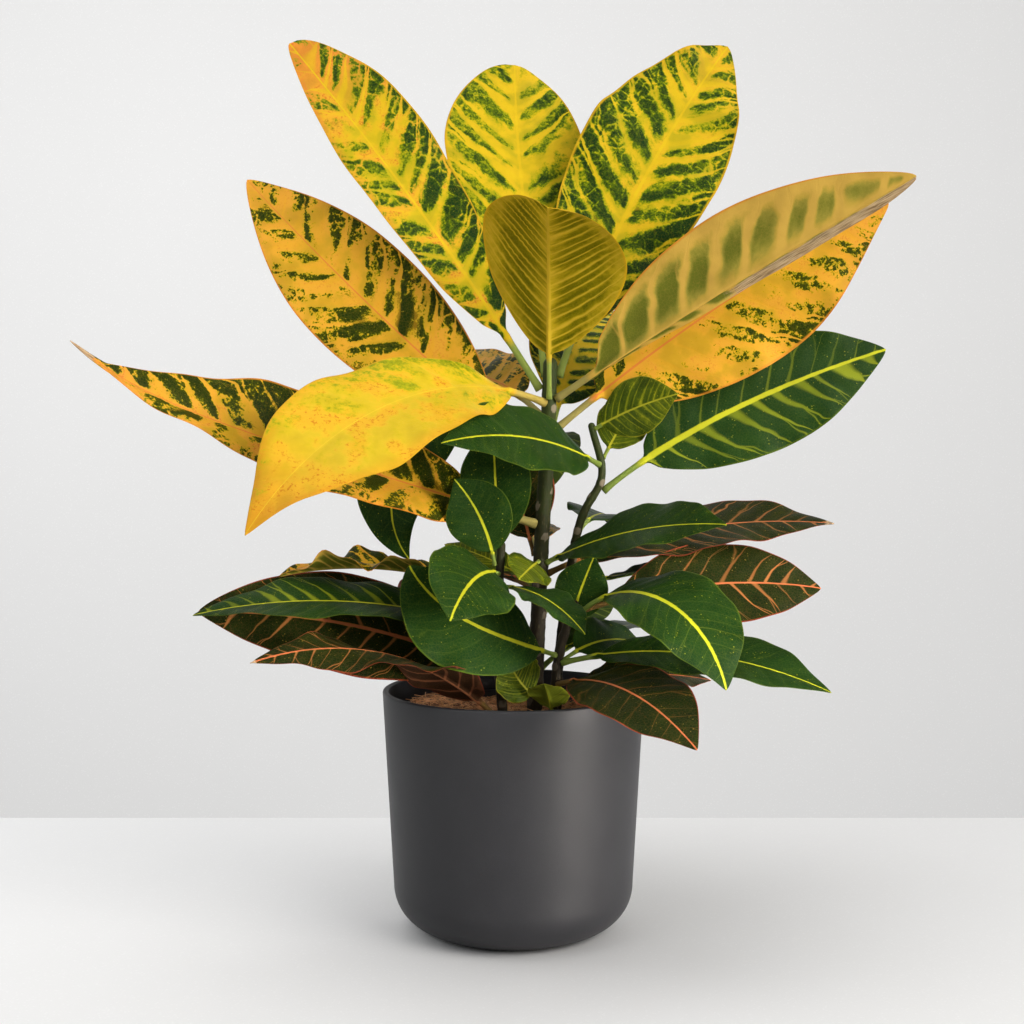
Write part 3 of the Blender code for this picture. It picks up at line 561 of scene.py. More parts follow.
def palettes(leaf):
    gold, orange, green = tuple(leaf.gold), tuple(leaf.orange), tuple(leaf.green)
    lime, pink = tuple(leaf.lime), tuple(leaf.pink)
    return {
        "gold": Palette(
            [(0.28, gold), (0.40, (0.40, 0.32, 0.005)), (0.50, (0.23, 0.245, 0.004)),
             (0.60, (0.090, 0.135, 0.003)), (0.72, (0.030, 0.058, 0.004)), (0.90, green)],
            (0.55, 0.37, 0.010), (0.54, 0.37, 0.009), (0.52, 0.30, 0.01), (0.20, 0.25, 0.05), (0.24, 0.28, 0.01),
            (0.56, 0.14, 0.03),
            [(0.25, (0.48, 0.32, 0.020)), (0.45, (0.33, 0.24, 0.007)), (0.62, (0.17, 0.14, 0.002)),
             (0.85, (0.07, 0.075, 0.001))],
            0.20, 0.14, 0.72, 0.9, 1.1, 0.55, 0.30, 0.22, 0.75, 0.30, 0.42),
        "amber": Palette(
            [(0.46, orange), (0.54, (0.42, 0.28, 0.006)), (0.59, (0.14, 0.15, 0.003)),
             (0.64, (0.036, 0.046, 0.002)), (0.90, (0.013, 0.024, 0.002))],
            (0.54, 0.17, 0.03), (0.57, 0.29, 0.016), (0.52, 0.19, 0.02), (0.25, 0.21, 0.06), (0.34, 0.26, 0.01),
            (0.56, 0.19, 0.04),
            [(0.25, (0.50, 0.31, 0.055)), (0.45, (0.40, 0.27, 0.04)), (0.62, (0.25, 0.21, 0.03)),
             (0.90, (0.11, 0.12, 0.012))],
            0.22, 0.075, 0.60, 1.7, 1.1, 0.7, 0.20, 0.24, 0.6, 0.70, 0.32),
        "yellow": Palette(
            [(0.34, (0.54, 0.36, 0.018)), (0.48, (0.48, 0.35, 0.010)), (0.62, (0.24, 0.25, 0.006)),
             (0.80, (0.10, 0.14, 0.005))],
            (0.57, 0.39, 0.02), (0.57, 0.39, 0.018), (0.48, 0.26, 0.012), (0.36, 0.27, 0.06), (0.44, 0.36, 0.01),
            (0.52, 0.20, 0.012),
            [(0.30, (0.56, 0.36, 0.015)), (0.60, (0.30, 0.27, 0.01))],
            0.20, 0.07, 0.2, 0.7, 0.7, 0.35, 0.4, 0.0, 0.4, 0.1, 0.3),
        "striped": Palette(
            [(0.36, lime), (0.48, (0.10, 0.14, 0.006)), (0.58, (0.019, 0.047, 0.007)), (0.95, green)],
            lime, (0.24, 0.27, 0.012), (0.06, 0.09, 0.006), (0.14, 0.19, 0.035), (0.30, 0.30, 0.01),
            (0.3, 0.3, 0.02),
            [(0.30, (0.20, 0.26, 0.03)), (0.60, (0.055, 0.090, 0.014)), (0.9, (0.030, 0.055, 0.009))],
            0.13, 0.115, 0.12, 0.40, 0.35, 0.22, 0.05, 0.08, 0.75, 0.2, 0.2),
        "red_rib": Palette(
            [(0.36, (0.34, 0.12, 0.03)), (0.48, (0.10, 0.07, 0.01)), (0.60, (0.019, 0.027, 0.004)),
             (0.95, (0.007, 0.015, 0.003))],
            pink, (0.44, 0.16, 0.045), (0.26, 0.045, 0.02), (0.12, 0.07, 0.02), (0.36, 0.23, 0.03),
            (0.45, 0.07, 0.04),
            [(0.30, (0.24, 0.09, 0.04)), (0.60, (0.080, 0.032, 0.016)), (0.9, (0.040, 0.020, 0.009))],
            0.10, 0.11, 0.12, 0.50, 0.45, 0.3, 0.05, 0.12, 0.85, 0.2, 0.2),
        "young": Palette(
            [(0.40, (0.26, 0.25, 0.010)), (0.52, (0.12, 0.14, 0.005)), (0.68, (0.050, 0.075, 0.004)),
             (0.9, (0.022, 0.038, 0.003))],
            (0.32, 0.30, 0.02), (0.25, 0.25, 0.012), (0.24, 0.22, 0.015), (0.19, 0.24, 0.04), (0.28, 0.28, 0.01),
            (0.4, 0.2, 0.03),
            [(0.30, (0.26, 0.27, 0.02)), (0.7, (0.09, 0.12, 0.01))],
            0.18, 0.06, 0.2, 0.6, 0.5, 0.25, 0.06, 0.0, 0.65, 0.1, 0.22),
    }


def leaf_material(name, palette, pattern, roughness):
    material, tree, shader = new_material(name, 0.035)
    seen = use_group(tree, pattern, {
        "Vein Width": palette.vein_width, "Midrib Width": palette.rib_width, "Depth": palette.depth,
        "Patches": palette.patches, "Streaks": palette.streaks, "Raggedness": palette.raggedness,
        "Clear Band": palette.clear, "Net": palette.net, "Ovals": palette.ovals, "Softness": palette.softness})
    pale = smooth(seen["Green"], 0.60, 0.40)
    rust = [part * share for part, share in zip(palette.blush, (0.72, 0.50, 0.45))]
    above = laid_over(
        ramp(seen["Green"], palette.ground),
        (smooth(seen["Mottle"], 0.52, 0.42) * pale * 0.35, palette.speck),
        (seen["Flush"] * seen["Ageing"] * (pale * 0.8), palette.blush),
        (seen["Stain"] * (seen["Flush"] * pale) * 0.8, rust),
        (seen["Veins"] * palette.vein_strength, palette.vein),
        (seen["Specks"] * 0.6, palette.speck),
        (seen["Net"] * 0.07, palette.vein),
        (seen["Midrib"], palette.rib))
    bare = palette.below[0][1]
    below = laid_over(ramp(seen["Below"], palette.below), (seen["Thin"] * 0.8, bare), (seen["Net"] * 0.12, bare),
                      (seen["Midrib"], bare))
    withered = ramp(seen["Fibrous"], [(0.35, (0.17, 0.11, 0.06)), (0.5, (0.36, 0.25, 0.14)),
                                      (0.62, (0.50, 0.36, 0.21))])
    colour = laid_over(mixed(seen["Upper"], below, above), (seen["Margin"] * 0.8, palette.margin),
                       (seen["Dry"] * 0.9, withered), (seen["Petiole"], palette.petiole))
    shade = ramp(seen["Mottle"], [(0.30, (0.82, 0.82, 0.82)), (0.60, (1.0, 1.0, 1.0))])
    feed(shader["Base Color"], mixed(1.0, colour, shade, "MULTIPLY"))
    matt = seen["Fine"] * 0.08 + (seen["Mottle"] * 0.14 + (roughness - 0.07))
    feed(shader["Roughness"], (1.0 - seen["Upper"]) * 0.16 + matt)
    feed(shader["Normal"], bump(seen["Height"], 0.35, 0.0004))
    return material


def grain_group():
    """Fine grain on Object coordinates, for glaze, plastic and walls."""
    tree, given, out = new_group("grain", {"Size": 0.0006, "Spread": 0.03}, ("Grain", "Cloud", "Specks"))
    place = object_place(tree)
    feed(out["Grain"], noise_value(place, calc("DIVIDE", 1.0, given["Size"]), 3, 0.6))
    feed(out["Cloud"], noise_value(place, calc("DIVIDE", 1.0, given["Spread"]), 4, 0.55))
    feed(out["Specks"], smooth(cells(place, calc("DIVIDE", 0.6, given["Size"])), 0.1, 0.3, 1, 0))
    return tree


# A grained finish: size of its grain and of its clouds, how strong its relief, its grain and its clouds are, and
# how much it shines.
Grain = namedtuple("Grain", "colour roughness size spread relief contrast sheen cloudy")


def grained_material(name, finish):
    material, tree, shader = new_material(name, finish.sheen)
    seen = use_group(tree, bpy.data.node_groups.get("grain") or grain_group(),
                     {"Size": finish.size, "Spread": finish.spread})
    deep, light, speck = ([min(1, part * share) for part in finish.colour]
                          for share in (1 - finish.contrast, 1 + finish.contrast, 1.9))
    tint = laid_over(mixed(seen["Grain"], deep, light), (seen["Specks"] * 0.25, speck))
    cloud = ramp(seen["Cloud"], [(0.3, (1 - finish.cloudy,) * 3), (0.7, (1 + finish.cloudy,) * 3)])
    feed(shader["Base Color"], mixed(1.0, tint, cloud, "MULTIPLY"))
    feed(shader["Roughness"], seen["Cloud"] * 0.12 + (finish.roughness - 0.06))
    feed(shader["Normal"], bump(seen["Grain"], finish.relief, 0.0002))
    return material


def bark_material(settings):
    material, tree, shader = new_material("bark", 0.15)
    scar = attribute(tree, "scar")[0]
    place = object_place(tree)
    stretched = worked("ShaderNodeMapping", {"Vector": place, "Scale": (1, 1, 0.25)})
    streaks = noise_value(stretched, 900, 4, 0.6)
    blotches = noise_value(place, 130, 4, 0.6)
    greening = smooth(blotches * 0.10 + split(place)[2], 0.27, 0.40)
    feed(shader["Base Color"], laid_over(
        mixed(greening, settings.low_colour, settings.high_colour),
        (smooth(streaks, 0.45, 0.70, 0, 0.55), (0.035, 0.028, 0.010)),
        (smooth(cells(stretched, 420), 0.08, 0.22, 0.6, 0), (0.06, 0.05, 0.022)),
        (smooth(scar, 0.05, 0.5) * (greening * 0.5 + 0.2), (0.24, 0.19, 0.13))))
    feed(shader["Roughness"], smooth(streaks, 0.3, 0.7, 0.55, 0.75))
    feed(shader["Normal"], bump(streaks, 0.6, 0.0004))
    return material


def mix_material(settings):
    material, tree, shader = new_material("potting mix")
    shade = noise_value(object_place(tree), 260, 5, 0.7)
    black, dark = ([part * share for part in settings.colour] for share in (0.09, 0.30))
    feed(shader["Base Color"], ramp(shade, [(0.30, black), (0.50, dark), (0.72, settings.colour)]))
    feed(shader["Roughness"], smooth(shade, 0.3, 0.8, 0.98, 0.85))
    feed(shader["Normal"], bump(shade, 1.0, 0.0012))
    return material


def fibre_material(settings):
    material, tree, shader = new_material("coir fibre")
    shade = noise_value(object_place(tree), 120, 3, 0.6)
    dark, pale = ([min(1, part * share) for part in settings.colour] for share in (0.35, 1.5))
    feed(shader["Base Color"], ramp(shade, [(0.35, dark), (0.50, settings.colour), (0.68, pale)]))
    feed(shader["Roughness"], smooth(shade, 0.3, 0.7, 0.95, 0.75))
    return material


# Mesh tools ---------------------------------------------------------------------------------------------------
def placed(name, data):
    thing = bpy.data.objects.new(name, data)
    bpy.context.scene.collection.objects.link(thing)
    return thing


def add_mesh(name, points, faces, material, attributes=None, sharp=None):
    """A shaded mesh at the origin, with vector attributes on its points."""
    mesh = bpy.data.meshes.new(name)
    mesh.from_pydata([tuple(p) for p in points], [], faces)
    mesh.shade_smooth()
    if sharp is not None:
        mesh.set_sharp_from_angle(angle=math.radians(sharp))
    for label, values in (attributes or {}).items():
        made = mesh.attributes.new(label, "FLOAT_VECTOR", "POINT")
        made.data.foreach_set("vector", np.asarray(values, np.float32).ravel())
    mesh.materials.append(material)
    mesh.validate()
    mesh.update()
    return placed(name, mesh)


def tube_faces(rings, around, start_cap=True, end_cap=True):
    """Quads between rings of points, numbered ring by ring, with flat caps."""
    faces = []
    for i in range(rings - 1):
        for j in range(around):
            k = (j + 1) % around
            faces.append((i * around + j, i * around + k, (i + 1) * around + k, (i + 1) * around + j))
    if start_cap:
        faces.append(tuple(range(around))[::-1])
    if end_cap:
        faces.append(tuple((rings - 1) * around + j for j in range(around)))
    return faces


def outward(points, faces):
    """The faces, turned over if they enclose their volume inside out."""
    volume = 0.0
    for face in faces:
        a = points[face[0]]
        for b, c in zip(face[1:], face[2:]):
            volume += np.dot(a, np.cross(points[b], points[c]))
    return faces if volume > 0 else [face[::-1] for face in faces]


def lathe(name, profile, steps, material):
    """A closed solid turned about Z from (radius, height) points that start and end on the axis."""
    inner = profile[1:-1]
    angles = [2 * math.pi * k / steps for k in range(steps)]
    points = [(r * math.cos(a), r * math.sin(a), z) for r, z in inner for a in angles]
    faces = tube_faces(len(inner), steps, False, False)
    ends = len(points)
    points += [(0, 0, profile[0][1]), (0, 0, profile[-1][1])]
    last = (len(inner) - 1) * steps
    for j in range(steps):
        k = (j + 1) % steps
        faces.append((ends, k, j))
        faces.append((ends + 1, last + j, last + k))
    points = np.array(points)
    return add_mesh(name, points, outward(points, faces), material, sharp=40)


def arc(centre, radius, start, end, steps):
    """Points of an arc in the profile plane, from one angle to another in degrees."""
    angles = [math.radians(start + (end - start) * i / steps) for i in range(steps + 1)]
    return [(centre[0] + radius * math.cos(a), centre[1] + radius * math.sin(a)) for a in angles]


def finish_piece(thing, slot, *nodes):
    """Attaches a piece to the root body and hides the solids that it stands for. The slot is not used."""
    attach(thing, "root")
    for name in nodes:
        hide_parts(name)


# Stems --------------------------------------------------------------------------------------------------------
def stem_route(stem, steps):
    """Centres and radii along a smooth curve through the stem's points (Catmull-Rom)."""
    points = [np.array(p) for p in stem.points]
    points = [2 * points[0] - points[1]] + points + [2 * points[-1] - points[-2]]
    centres = []
    for before, a, b, after in zip(points, points[1:], points[2:], points[3:]):
        for i in range(steps):
            t = i / steps
            centres.append(0.5 * (2 * a + (b - before) * t + (2 * before - 5 * a + 4 * b - after) * t ** 2
                                  + (3 * a - before - 3 * b + after) * t ** 3))
    centres.append(points[-2])
    radii = np.linspace(stem.base_radius, stem.tip_radius, len(centres))
    return np.array(centres), radii


def scar_places(name, length):
    """How far up a stem of some length its leaf scars are, and how far round it."""
    draw = random.Random(name)
    scars, place, turn = [], FIRST_SCAR, draw.uniform(0, 6)
    while place < length - LAST_SCAR:
        scars.append((place, turn))
        place += draw.uniform(*SCAR_SPACING)
        turn += SCAR_TURN
    return scars


def stem_mesh(name, stem, scar_radius, material):
    """A stem with a rounded tip, a slight swelling at each node and the round scars of fallen leaves."""
    around = STEM_SIDES
    centres, radii = stem_route(stem, STEM_STEPS)
    along = np.gradient(centres, axis=0)
    along /= np.linalg.norm(along, axis=1)[:, None]
    side = np.cross(along, (0, 1, 0))
    side /= np.linalg.norm(side, axis=1)[:, None]
    other = np.cross(along, side)
    dome = np.linspace(0, 1, 7)[1:]
    tip_radius = radii[-1]
    centres = np.vstack([centres, centres[-1] + along[-1] * np.sin(dome * math.pi / 2)[:, None] * tip_radius])
    radii = np.concatenate([radii, tip_radius * np.maximum(np.cos(dome * math.pi / 2), 0.03)])
    side = np.vstack([side, np.repeat(side[-1:], len(dome), 0)])
    other = np.vstack([other, np.repeat(other[-1:], len(dome), 0)])
    travelled = np.concatenate([[0], np.cumsum(np.linalg.norm(np.diff(centres, axis=0), axis=1))])
    angles = np.arange(around) * 2 * math.pi / around
    swell = np.zeros((len(centres), around))
    mark = np.zeros((len(centres), around))
    for place, turn in scar_places(name, travelled[-1]):
        gap = np.abs((angles[None, :] - turn + math.pi) % (2 * math.pi) - math.pi) * radii[:, None]
        far = np.hypot(gap, (travelled - place)[:, None]) / scar_radius
        swell += 0.0005 * np.clip(1.5 - far, 0, 1) - 0.0003 * np.clip(1 - far * 1.5, 0, 1)
        swell += 0.00025 * np.exp(-((travelled - place)[:, None] / 0.0016) ** 2)
        mark = np.maximum(mark, np.clip((1.05 - far) * 5, 0, 1))
    reach = radii[:, None] + swell * np.minimum(1, radii[:, None] / 0.003)
    ridged = 1 + 0.02 * np.sin(angles * 5 + 1) + 0.015 * np.sin(angles * 9 + travelled[:, None] * 180)
    reach = reach * ridged
    points = (centres[:, None, :] + reach[..., None] * (np.cos(angles)[None, :, None] * side[:, None, :]
                                                        + np.sin(angles)[None, :, None] * other[:, None, :]))
    points = points.reshape(-1, 3)
    faces = outward(points, tube_faces(len(centres), around))
    return add_mesh(name, points, faces, material, {"scar": np.repeat(mark.reshape(-1, 1), 3, axis=1)})


# Leaves -------------------------------------------------------------------------------------------------------
def petiole_radius(leaf):
    return PETIOLE_RADIUS + PETIOLE_GROWTH * leaf.length


def leaf_start(leaf):
    """Where the petiole begins: square off its stem's side."""
    centres, radii = stem_route(STEMS[leaf.stem], 16)
    nearest = min(range(1, len(centres) - 1), key=lambda i: abs(centres[i][2] - leaf.height))
    along = centres[nearest + 1] - centres[nearest - 1]
    along = along / np.linalg.norm(along)
    heading, rise = math.radians(leaf.heading), math.radians(leaf.rise)
    outwards = np.array((math.cos(heading), math.sin(heading), 0))
    outwards = outwards - along * np.dot(outwards, along)
    outwards = outwards / np.linalg.norm(outwards)
    petiole = np.array((math.cos(rise) * math.cos(heading), math.cos(rise) * math.sin(heading), math.sin(rise)))
    overhang = petiole_radius(leaf) * math.sqrt(1 - np.dot(petiole, outwards) ** 2)
    return centres[nearest] + outwards * (radii[nearest] + GAP + overhang)


def leaf_spine(leaf, stations):
    """Points of the midrib at the given fractions of the whole length, with the across and up directions."""
    fine = np.linspace(0, 1, 121)

    def direction(t):
        rise = np.radians(leaf.rise - leaf.droop * t ** leaf.bend)
        heading = np.radians(leaf.heading + leaf.sway * t)
        return np.stack([np.cos(rise) * np.cos(heading), np.cos(rise) * np.sin(heading), np.sin(rise)], axis=-1)

    whole = leaf.petiole + leaf.length
    steps = (direction(fine[1:]) + direction(fine[:-1])) / 2 * whole / (len(fine) - 1)
    track = leaf_start(leaf) + np.vstack([(0, 0, 0), np.cumsum(steps, axis=0)])
    points = np.stack([np.interp(stations, fine, track[:, k]) for k in range(3)], axis=-1)
    along = direction(stations)
    heading = np.radians(leaf.heading + leaf.sway * stations)
    across = np.stack([-np.sin(heading), np.cos(heading), 0 * heading], axis=-1)
    up = np.cross(along, across)
    along_blade = np.clip((stations * whole - leaf.petiole) / leaf.length, 0, 1)
    roll = np.radians(leaf.roll + leaf.twist * along_blade)[:, None]
    return points, along, across * np.cos(roll) + up * np.sin(roll), up * np.cos(roll) - across * np.sin(roll)


def blade_outline(leaf, shape, s, lean):
    """Half the blade's width at fractions s of its length, with a narrow drip tip."""
    belly = leaf.belly + lean
    base_power = leaf.blunt * belly
    tip_power = leaf.blunt * (1 - belly)
    peak = belly ** base_power * (1 - belly) ** tip_power
    within = np.clip(s / (1 - shape.beak), 0, 1)
    end = np.clip((within - 0.6) / 0.4, 0, 1)
    taper = 1 - shape.point * end ** 2
    body = leaf.width / 2 * within ** base_power * (1 - within) ** tip_power / peak * taper
    tip = 0.10 * leaf.width * np.sqrt(np.clip(1 - s, 0, 1)) * (s > 0.7) * min(1, shape.beak * 30)
    return np.maximum(body, tip)


# The rings of a leaf from inside its stem to its tip, as columns: place and directions, fraction of the blade
# passed, which is below 0 on the petiole, the same from 0, fraction of the petiole back to the stem, radius of the
# midrib, widths of the two halves, how far the blade is wide enough to ripple, and how far it has opened from a
# round petiole.
Rings = namedtuple("Rings", "points along across up passed s foot rib halves middle spread")


def leaf_rings(leaf, shape):
    whole = leaf.petiole + leaf.length
    count = max(int(leaf.length / STATION_SPACING), FEWEST_STATIONS)
    crowded = (1 - np.cos(np.linspace(0, math.pi, count))) / 2
    blade = (leaf.petiole + (0.55 * np.linspace(0, 1, count) + 0.45 * crowded) * leaf.length) / whole
    stations = np.concatenate([np.linspace(0, leaf.petiole / whole, PETIOLE_STATIONS, endpoint=False), blade])
    points, along, across, up = leaf_spine(leaf, stations)
    points[0] -= along[0] * ROOTED
    passed = (stations * whole - leaf.petiole)[:, None] / leaf.length
    s = np.clip(passed, 0, 1)
    foot = np.clip(-passed * leaf.length / leaf.petiole, 0, 1)
    rib = petiole_radius(leaf) + (TIP_RADIUS - petiole_radius(leaf)) * s
    rib = rib * (1 + FOOT_SWELL * foot ** 6 + BASE_SWELL * np.exp(-((passed * leaf.length) / BASE_LENGTH) ** 2))
    halves = [blade_outline(leaf, shape, s, lean) for lean in (shape.lean_minus, shape.lean_plus)]
    outline = (halves[0] + halves[1]) / 2
    spread = np.minimum(1, outline / (4 * rib))
    spread = spread ** 2 * (3 - 2 * spread)
    return Rings(points, along, across, up, passed, s, foot, rib, halves, np.minimum(1, outline / 0.02), spread)


def leaf_side(leaf, shape, settings, rings, u, sign):
    """Places of the upper (sign 1) or lower side at the fractions u across, the count of side veins passed there,
    and the metres from the midrib."""
    s, rib, middle, size = rings.s, rings.rib, rings.middle, np.abs(u)
    reach = rib + np.where(u < 0, rings.halves[0] * shape.minus, rings.halves[1] * shape.plus)
    lateral = u * reach

    # Each half is lifted and arched about the midrib, and its margin ripples.
    lift = np.radians(leaf.fold + shape.fold_tip * s ** 3 + shape.fold_base * (1 - s) ** 3)
    lift = lift * (1 - shape.arch * size / 2)
    sideways = np.sign(u) * reach * size * np.cos(lift)
    height = reach * size * np.sin(lift)
    ripple = np.sin(2 * math.pi * (shape.waves * s + shape.phase + 0.3 * np.sign(u)))
    ripple += 0.4 * np.sin(2 * math.pi * (2.3 * shape.waves * s + shape.phase * 2 + 0.6 * np.sign(u)))
    height = height + shape.wave * size ** 2 * ripple * middle

    # Side veins slant to the tip, more so near the margin, and the blade swells between them.
    slant = 0.60 + 0.3 * s
    far = reach * size / np.max(reach)
    veins = shape.veins * (s - slant * reach * size / leaf.length * (0.75 + 0.35 * far))
    veins = veins + 0.45 * (u > 0) + 20
    between = 0.5 - 0.5 * np.cos(2 * math.pi * veins)
    room = 4 * size * (1 - size) * middle
    height = height + settings.quilting * (between - 0.5) * room * min(1, leaf.width / 0.08)

    # The blade's thickness, with the midrib and the ridges of the side veins below.
    thick = settings.thickness / 2 * np.sqrt(np.clip(1 - size ** 5, 0, 1))
    if sign > 0:
        height = height + thick + 0.25 * rib * np.exp(-(lateral / (0.9 * rib)) ** 2)
    else:
        vein = np.exp(-(np.abs(veins - np.round(veins)) / 0.09) ** 2)
        ridge = settings.ridge * vein * (1 - size) ** 0.5 * np.minimum(1, size * 20) * middle
        height = height - thick - ridge
        height = height - 1.2 * rib * np.exp(-(lateral / (1.1 * rib)) ** 2)

    # From the round petiole to the open blade, whose lobes may reach past the end of the midrib.
    angle = math.pi * (1 - u) / 2
    round_side = rib * np.cos(angle)
    round_height = sign * rib * np.sin(angle)
    sideways = round_side + (sideways - round_side) * rings.spread
    height = round_height + (height - round_height) * rings.spread
    lobes = shape.notch * np.clip(1.5 * size, 0, 1) * s ** 6 * middle
    place = rings.points[:, None, :] + rings.across[:, None, :] * sideways[..., None]
    place = place + rings.up[:, None, :] * height[..., None]
    return place + rings.along[:, None, :] * lobes[..., None], veins, lateral


def leaf_looks(leaf, tone, rings, u, sign, veins, lateral):
    """The attributes that the pattern follows, on the places of one side."""
    s, size, full = rings.s, np.abs(u), np.ones_like(veins)
    cover = tone.base + (tone.tip - tone.base) * s
    cover = cover + np.where(u < 0, tone.minus, tone.plus) * size
    withered = np.clip((s - 1 + tone.dry) / 0.04, 0, 1) * (tone.dry > 0) * full
    if tone.dry_plus:
        far_half = np.clip((size - 1 + tone.dry_plus) / 0.1, 0, 1) * np.clip((s - 0.35) / 0.2, 0, 1)
        withered = np.maximum(withered, far_half * (u > 0) * full)
    looks = {
        "blade": (u, np.where(rings.passed < 0, -rings.foot, s), sign * (size < 0.999)),
        "vein": (veins, lateral * 100, rings.passed * leaf.length * 100),
        "tone": (cover, tone.flush, tone.seed),
        "lines": (np.where(u < 0, tone.vein_minus, tone.vein_plus), tone.net, tone.rib),
        "worn": (withered, 0, 0)}
    return {name: np.stack([part * full for part in parts], axis=-1) for name, parts in looks.items()}


def leaf_mesh(leaf, settings, material):
    """One closed leaf with its petiole."""
    shape = SHAPES.get(leaf.name, PLAIN_SHAPE)
    tone = TONES.get(leaf.name)
    if tone is None:
        tone = KIND_TONES[leaf.kind]._replace(seed=10 + [row.name for row in LEAVES].index(leaf.name))
    half = 15 if leaf.length > 0.1 else 10
    steps = np.linspace(-1, 1, 2 * half + 1)
    steps = np.sign(steps) * np.abs(steps) ** 1.25
    u = np.sort(np.concatenate([steps, (-0.995, -0.975, 0.975, 0.995)]))[None, :]
    rings = leaf_rings(leaf, shape)
    places, looks = [], []
    for u, sign in ((u, 1), (u[:, -2:0:-1], -1)):
        place, veins, lateral = leaf_side(leaf, shape, settings, rings, u, sign)
        places.append(place)
        looks.append(leaf_looks(leaf, tone, rings, u, sign, veins, lateral))
    place = np.concatenate(places, axis=1)
    points = place.reshape(-1, 3)
    faces = outward(points, tube_faces(len(place), place.shape[1]))
    looks = {name: np.concatenate([upper, looks[1][name]], axis=1) for name, upper in looks[0].items()}
    return add_mesh(leaf.name + "_leaf", points, faces, material, looks)


# Potting mix --------------------------------------------------------------------------------------------------
def rough_height(x, y):
    """Height of lumps, hollows and one heap of the potting mix above its mean surface."""
    lumps = noise.noise(Vector((x * 90, y * 90, 3.1))) * 0.0016
    crumbs = noise.noise(Vector((x * 330, y * 330, 7.7))) * 0.0009
    heap = HEAP.height * math.exp(-((x - HEAP.x) ** 2 + (y - HEAP.y) ** 2) / HEAP.radius ** 2)
    return lumps + crumbs + heap


def mix_mesh(material):
    """The root ball: a lumpy dome on a plain tapered body."""
    around, rings = 120, 44
    edge = MIX_HIGH.z - DOME
    rows = [(MIX_HIGH.x * i / rings, edge + DOME * (1 - (i / rings) ** 2), 1 if i < rings else 0.3)
            for i in range(1, rings + 1)]
    rows += [(MIX_HIGH.x, edge - 0.004, 0), (LINER_HIGH.x * 0.68, MIX_LOW.z, 0)]
    points = []
    for radius, height, lumpy in rows:
        for k in range(around):
            angle = 2 * math.pi * k / around
            x, y = radius * math.cos(angle), radius * math.sin(angle)
            points.append((x, y, height + lumpy * rough_height(x, y)))
    faces = tube_faces(len(rows), around, False, True)
    points.append((0, 0, edge + DOME + rough_height(0, 0)))
    faces += [(len(points) - 1, (k + 1) % around, k) for k in range(around)]
    points = np.array(points)
    return add_mesh("root_ball", points, outward(points, faces), material)


def fibre_shapes(given):
    """Bent fibres to pick from."""
    half = given["Length"] * 0.5
    for bend in (0.30, -0.45, 0.15, 0.7):
        curve = worked("GeometryNodeCurveQuadraticBezier", {
            "Resolution": 5, "Start": vector(half * -1.0, 0.0, 0.0),
            "Middle": vector(0.0, half * (bend * 1.6), half * (abs(bend) * 0.7)),
            "End": vector(half, half * (-0.3 * bend), 0.0)})
        section = worked("GeometryNodeCurvePrimitiveCircle", {"Resolution": 4, "Radius": given["Thickness"]})
        yield worked("GeometryNodeCurveToMesh", {"Curve": curve, "Profile Curve": section, "Fill Caps": True})


def crumb_shapes(given):
    """Flattened crumbs to pick from."""
    for flatness in (0.5, 0.8, 0.35):
        lump = worked("GeometryNodeMeshIcoSphere", {"Subdivisions": 1, "Radius": given["Length"]})
        yield worked("GeometryNodeTransform", {"Geometry": lump, "Scale": (1, 0.7, flatness)})


def scatter_tree(name, shapes, seed, tilt, lift, material):
    """Geometry Nodes: shapes strewn on the faces that look up, tilted by up to an angle, and realised."""
    tree, given, out = new_group(name, {"Surface": None, "Density": 100000.0, "Length": 0.01, "Thickness": 0.0002},
                                 ("Geometry",), "GeometryNodeTree")
    upward = split(Value(tree, node(tree, "GeometryNodeInputNormal").outputs[0]))[2]
    spots = worked("GeometryNodeDistributePointsOnFaces", {
        "Mesh": given["Surface"], "Density": given["Density"], "Seed": seed,
        "Selection": calc("GREATER_THAN", upward, 0.5)})
    choice = node(tree, "GeometryNodeGeometryToInstance")
    for shape in shapes(given):
        feed(choice.inputs[0], shape)
    turn = node(tree, "FunctionNodeRandomValue", data_type="FLOAT_VECTOR")
    turn.inputs[0].default_value = (-tilt, -tilt, 0)
    turn.inputs[1].default_value = (tilt, tilt, 2 * math.pi)
    size = node(tree, "FunctionNodeRandomValue", data_type="FLOAT")
    size.inputs[2].default_value, size.inputs[3].default_value = 0.25, 1.0
    size.inputs["Seed"].default_value = 3
    strewn = worked("GeometryNodeInstanceOnPoints", {
        "Points": spots, "Instance": Value(tree, choice.outputs[0]), "Pick Instance": True,
        "Rotation": Value(tree, turn.outputs[0]), "Scale": Value(tree, size.outputs[1])})
    solid = worked("GeometryNodeSetPosition", {
        "Geometry": worked("GeometryNodeRealizeInstances", {"Geometry": strewn}), "Offset": (0, 0, lift)})
    feed(out["Geometry"], worked("GeometryNodeSetMaterial", {"Geometry": solid, "Material": material}))
    return tree


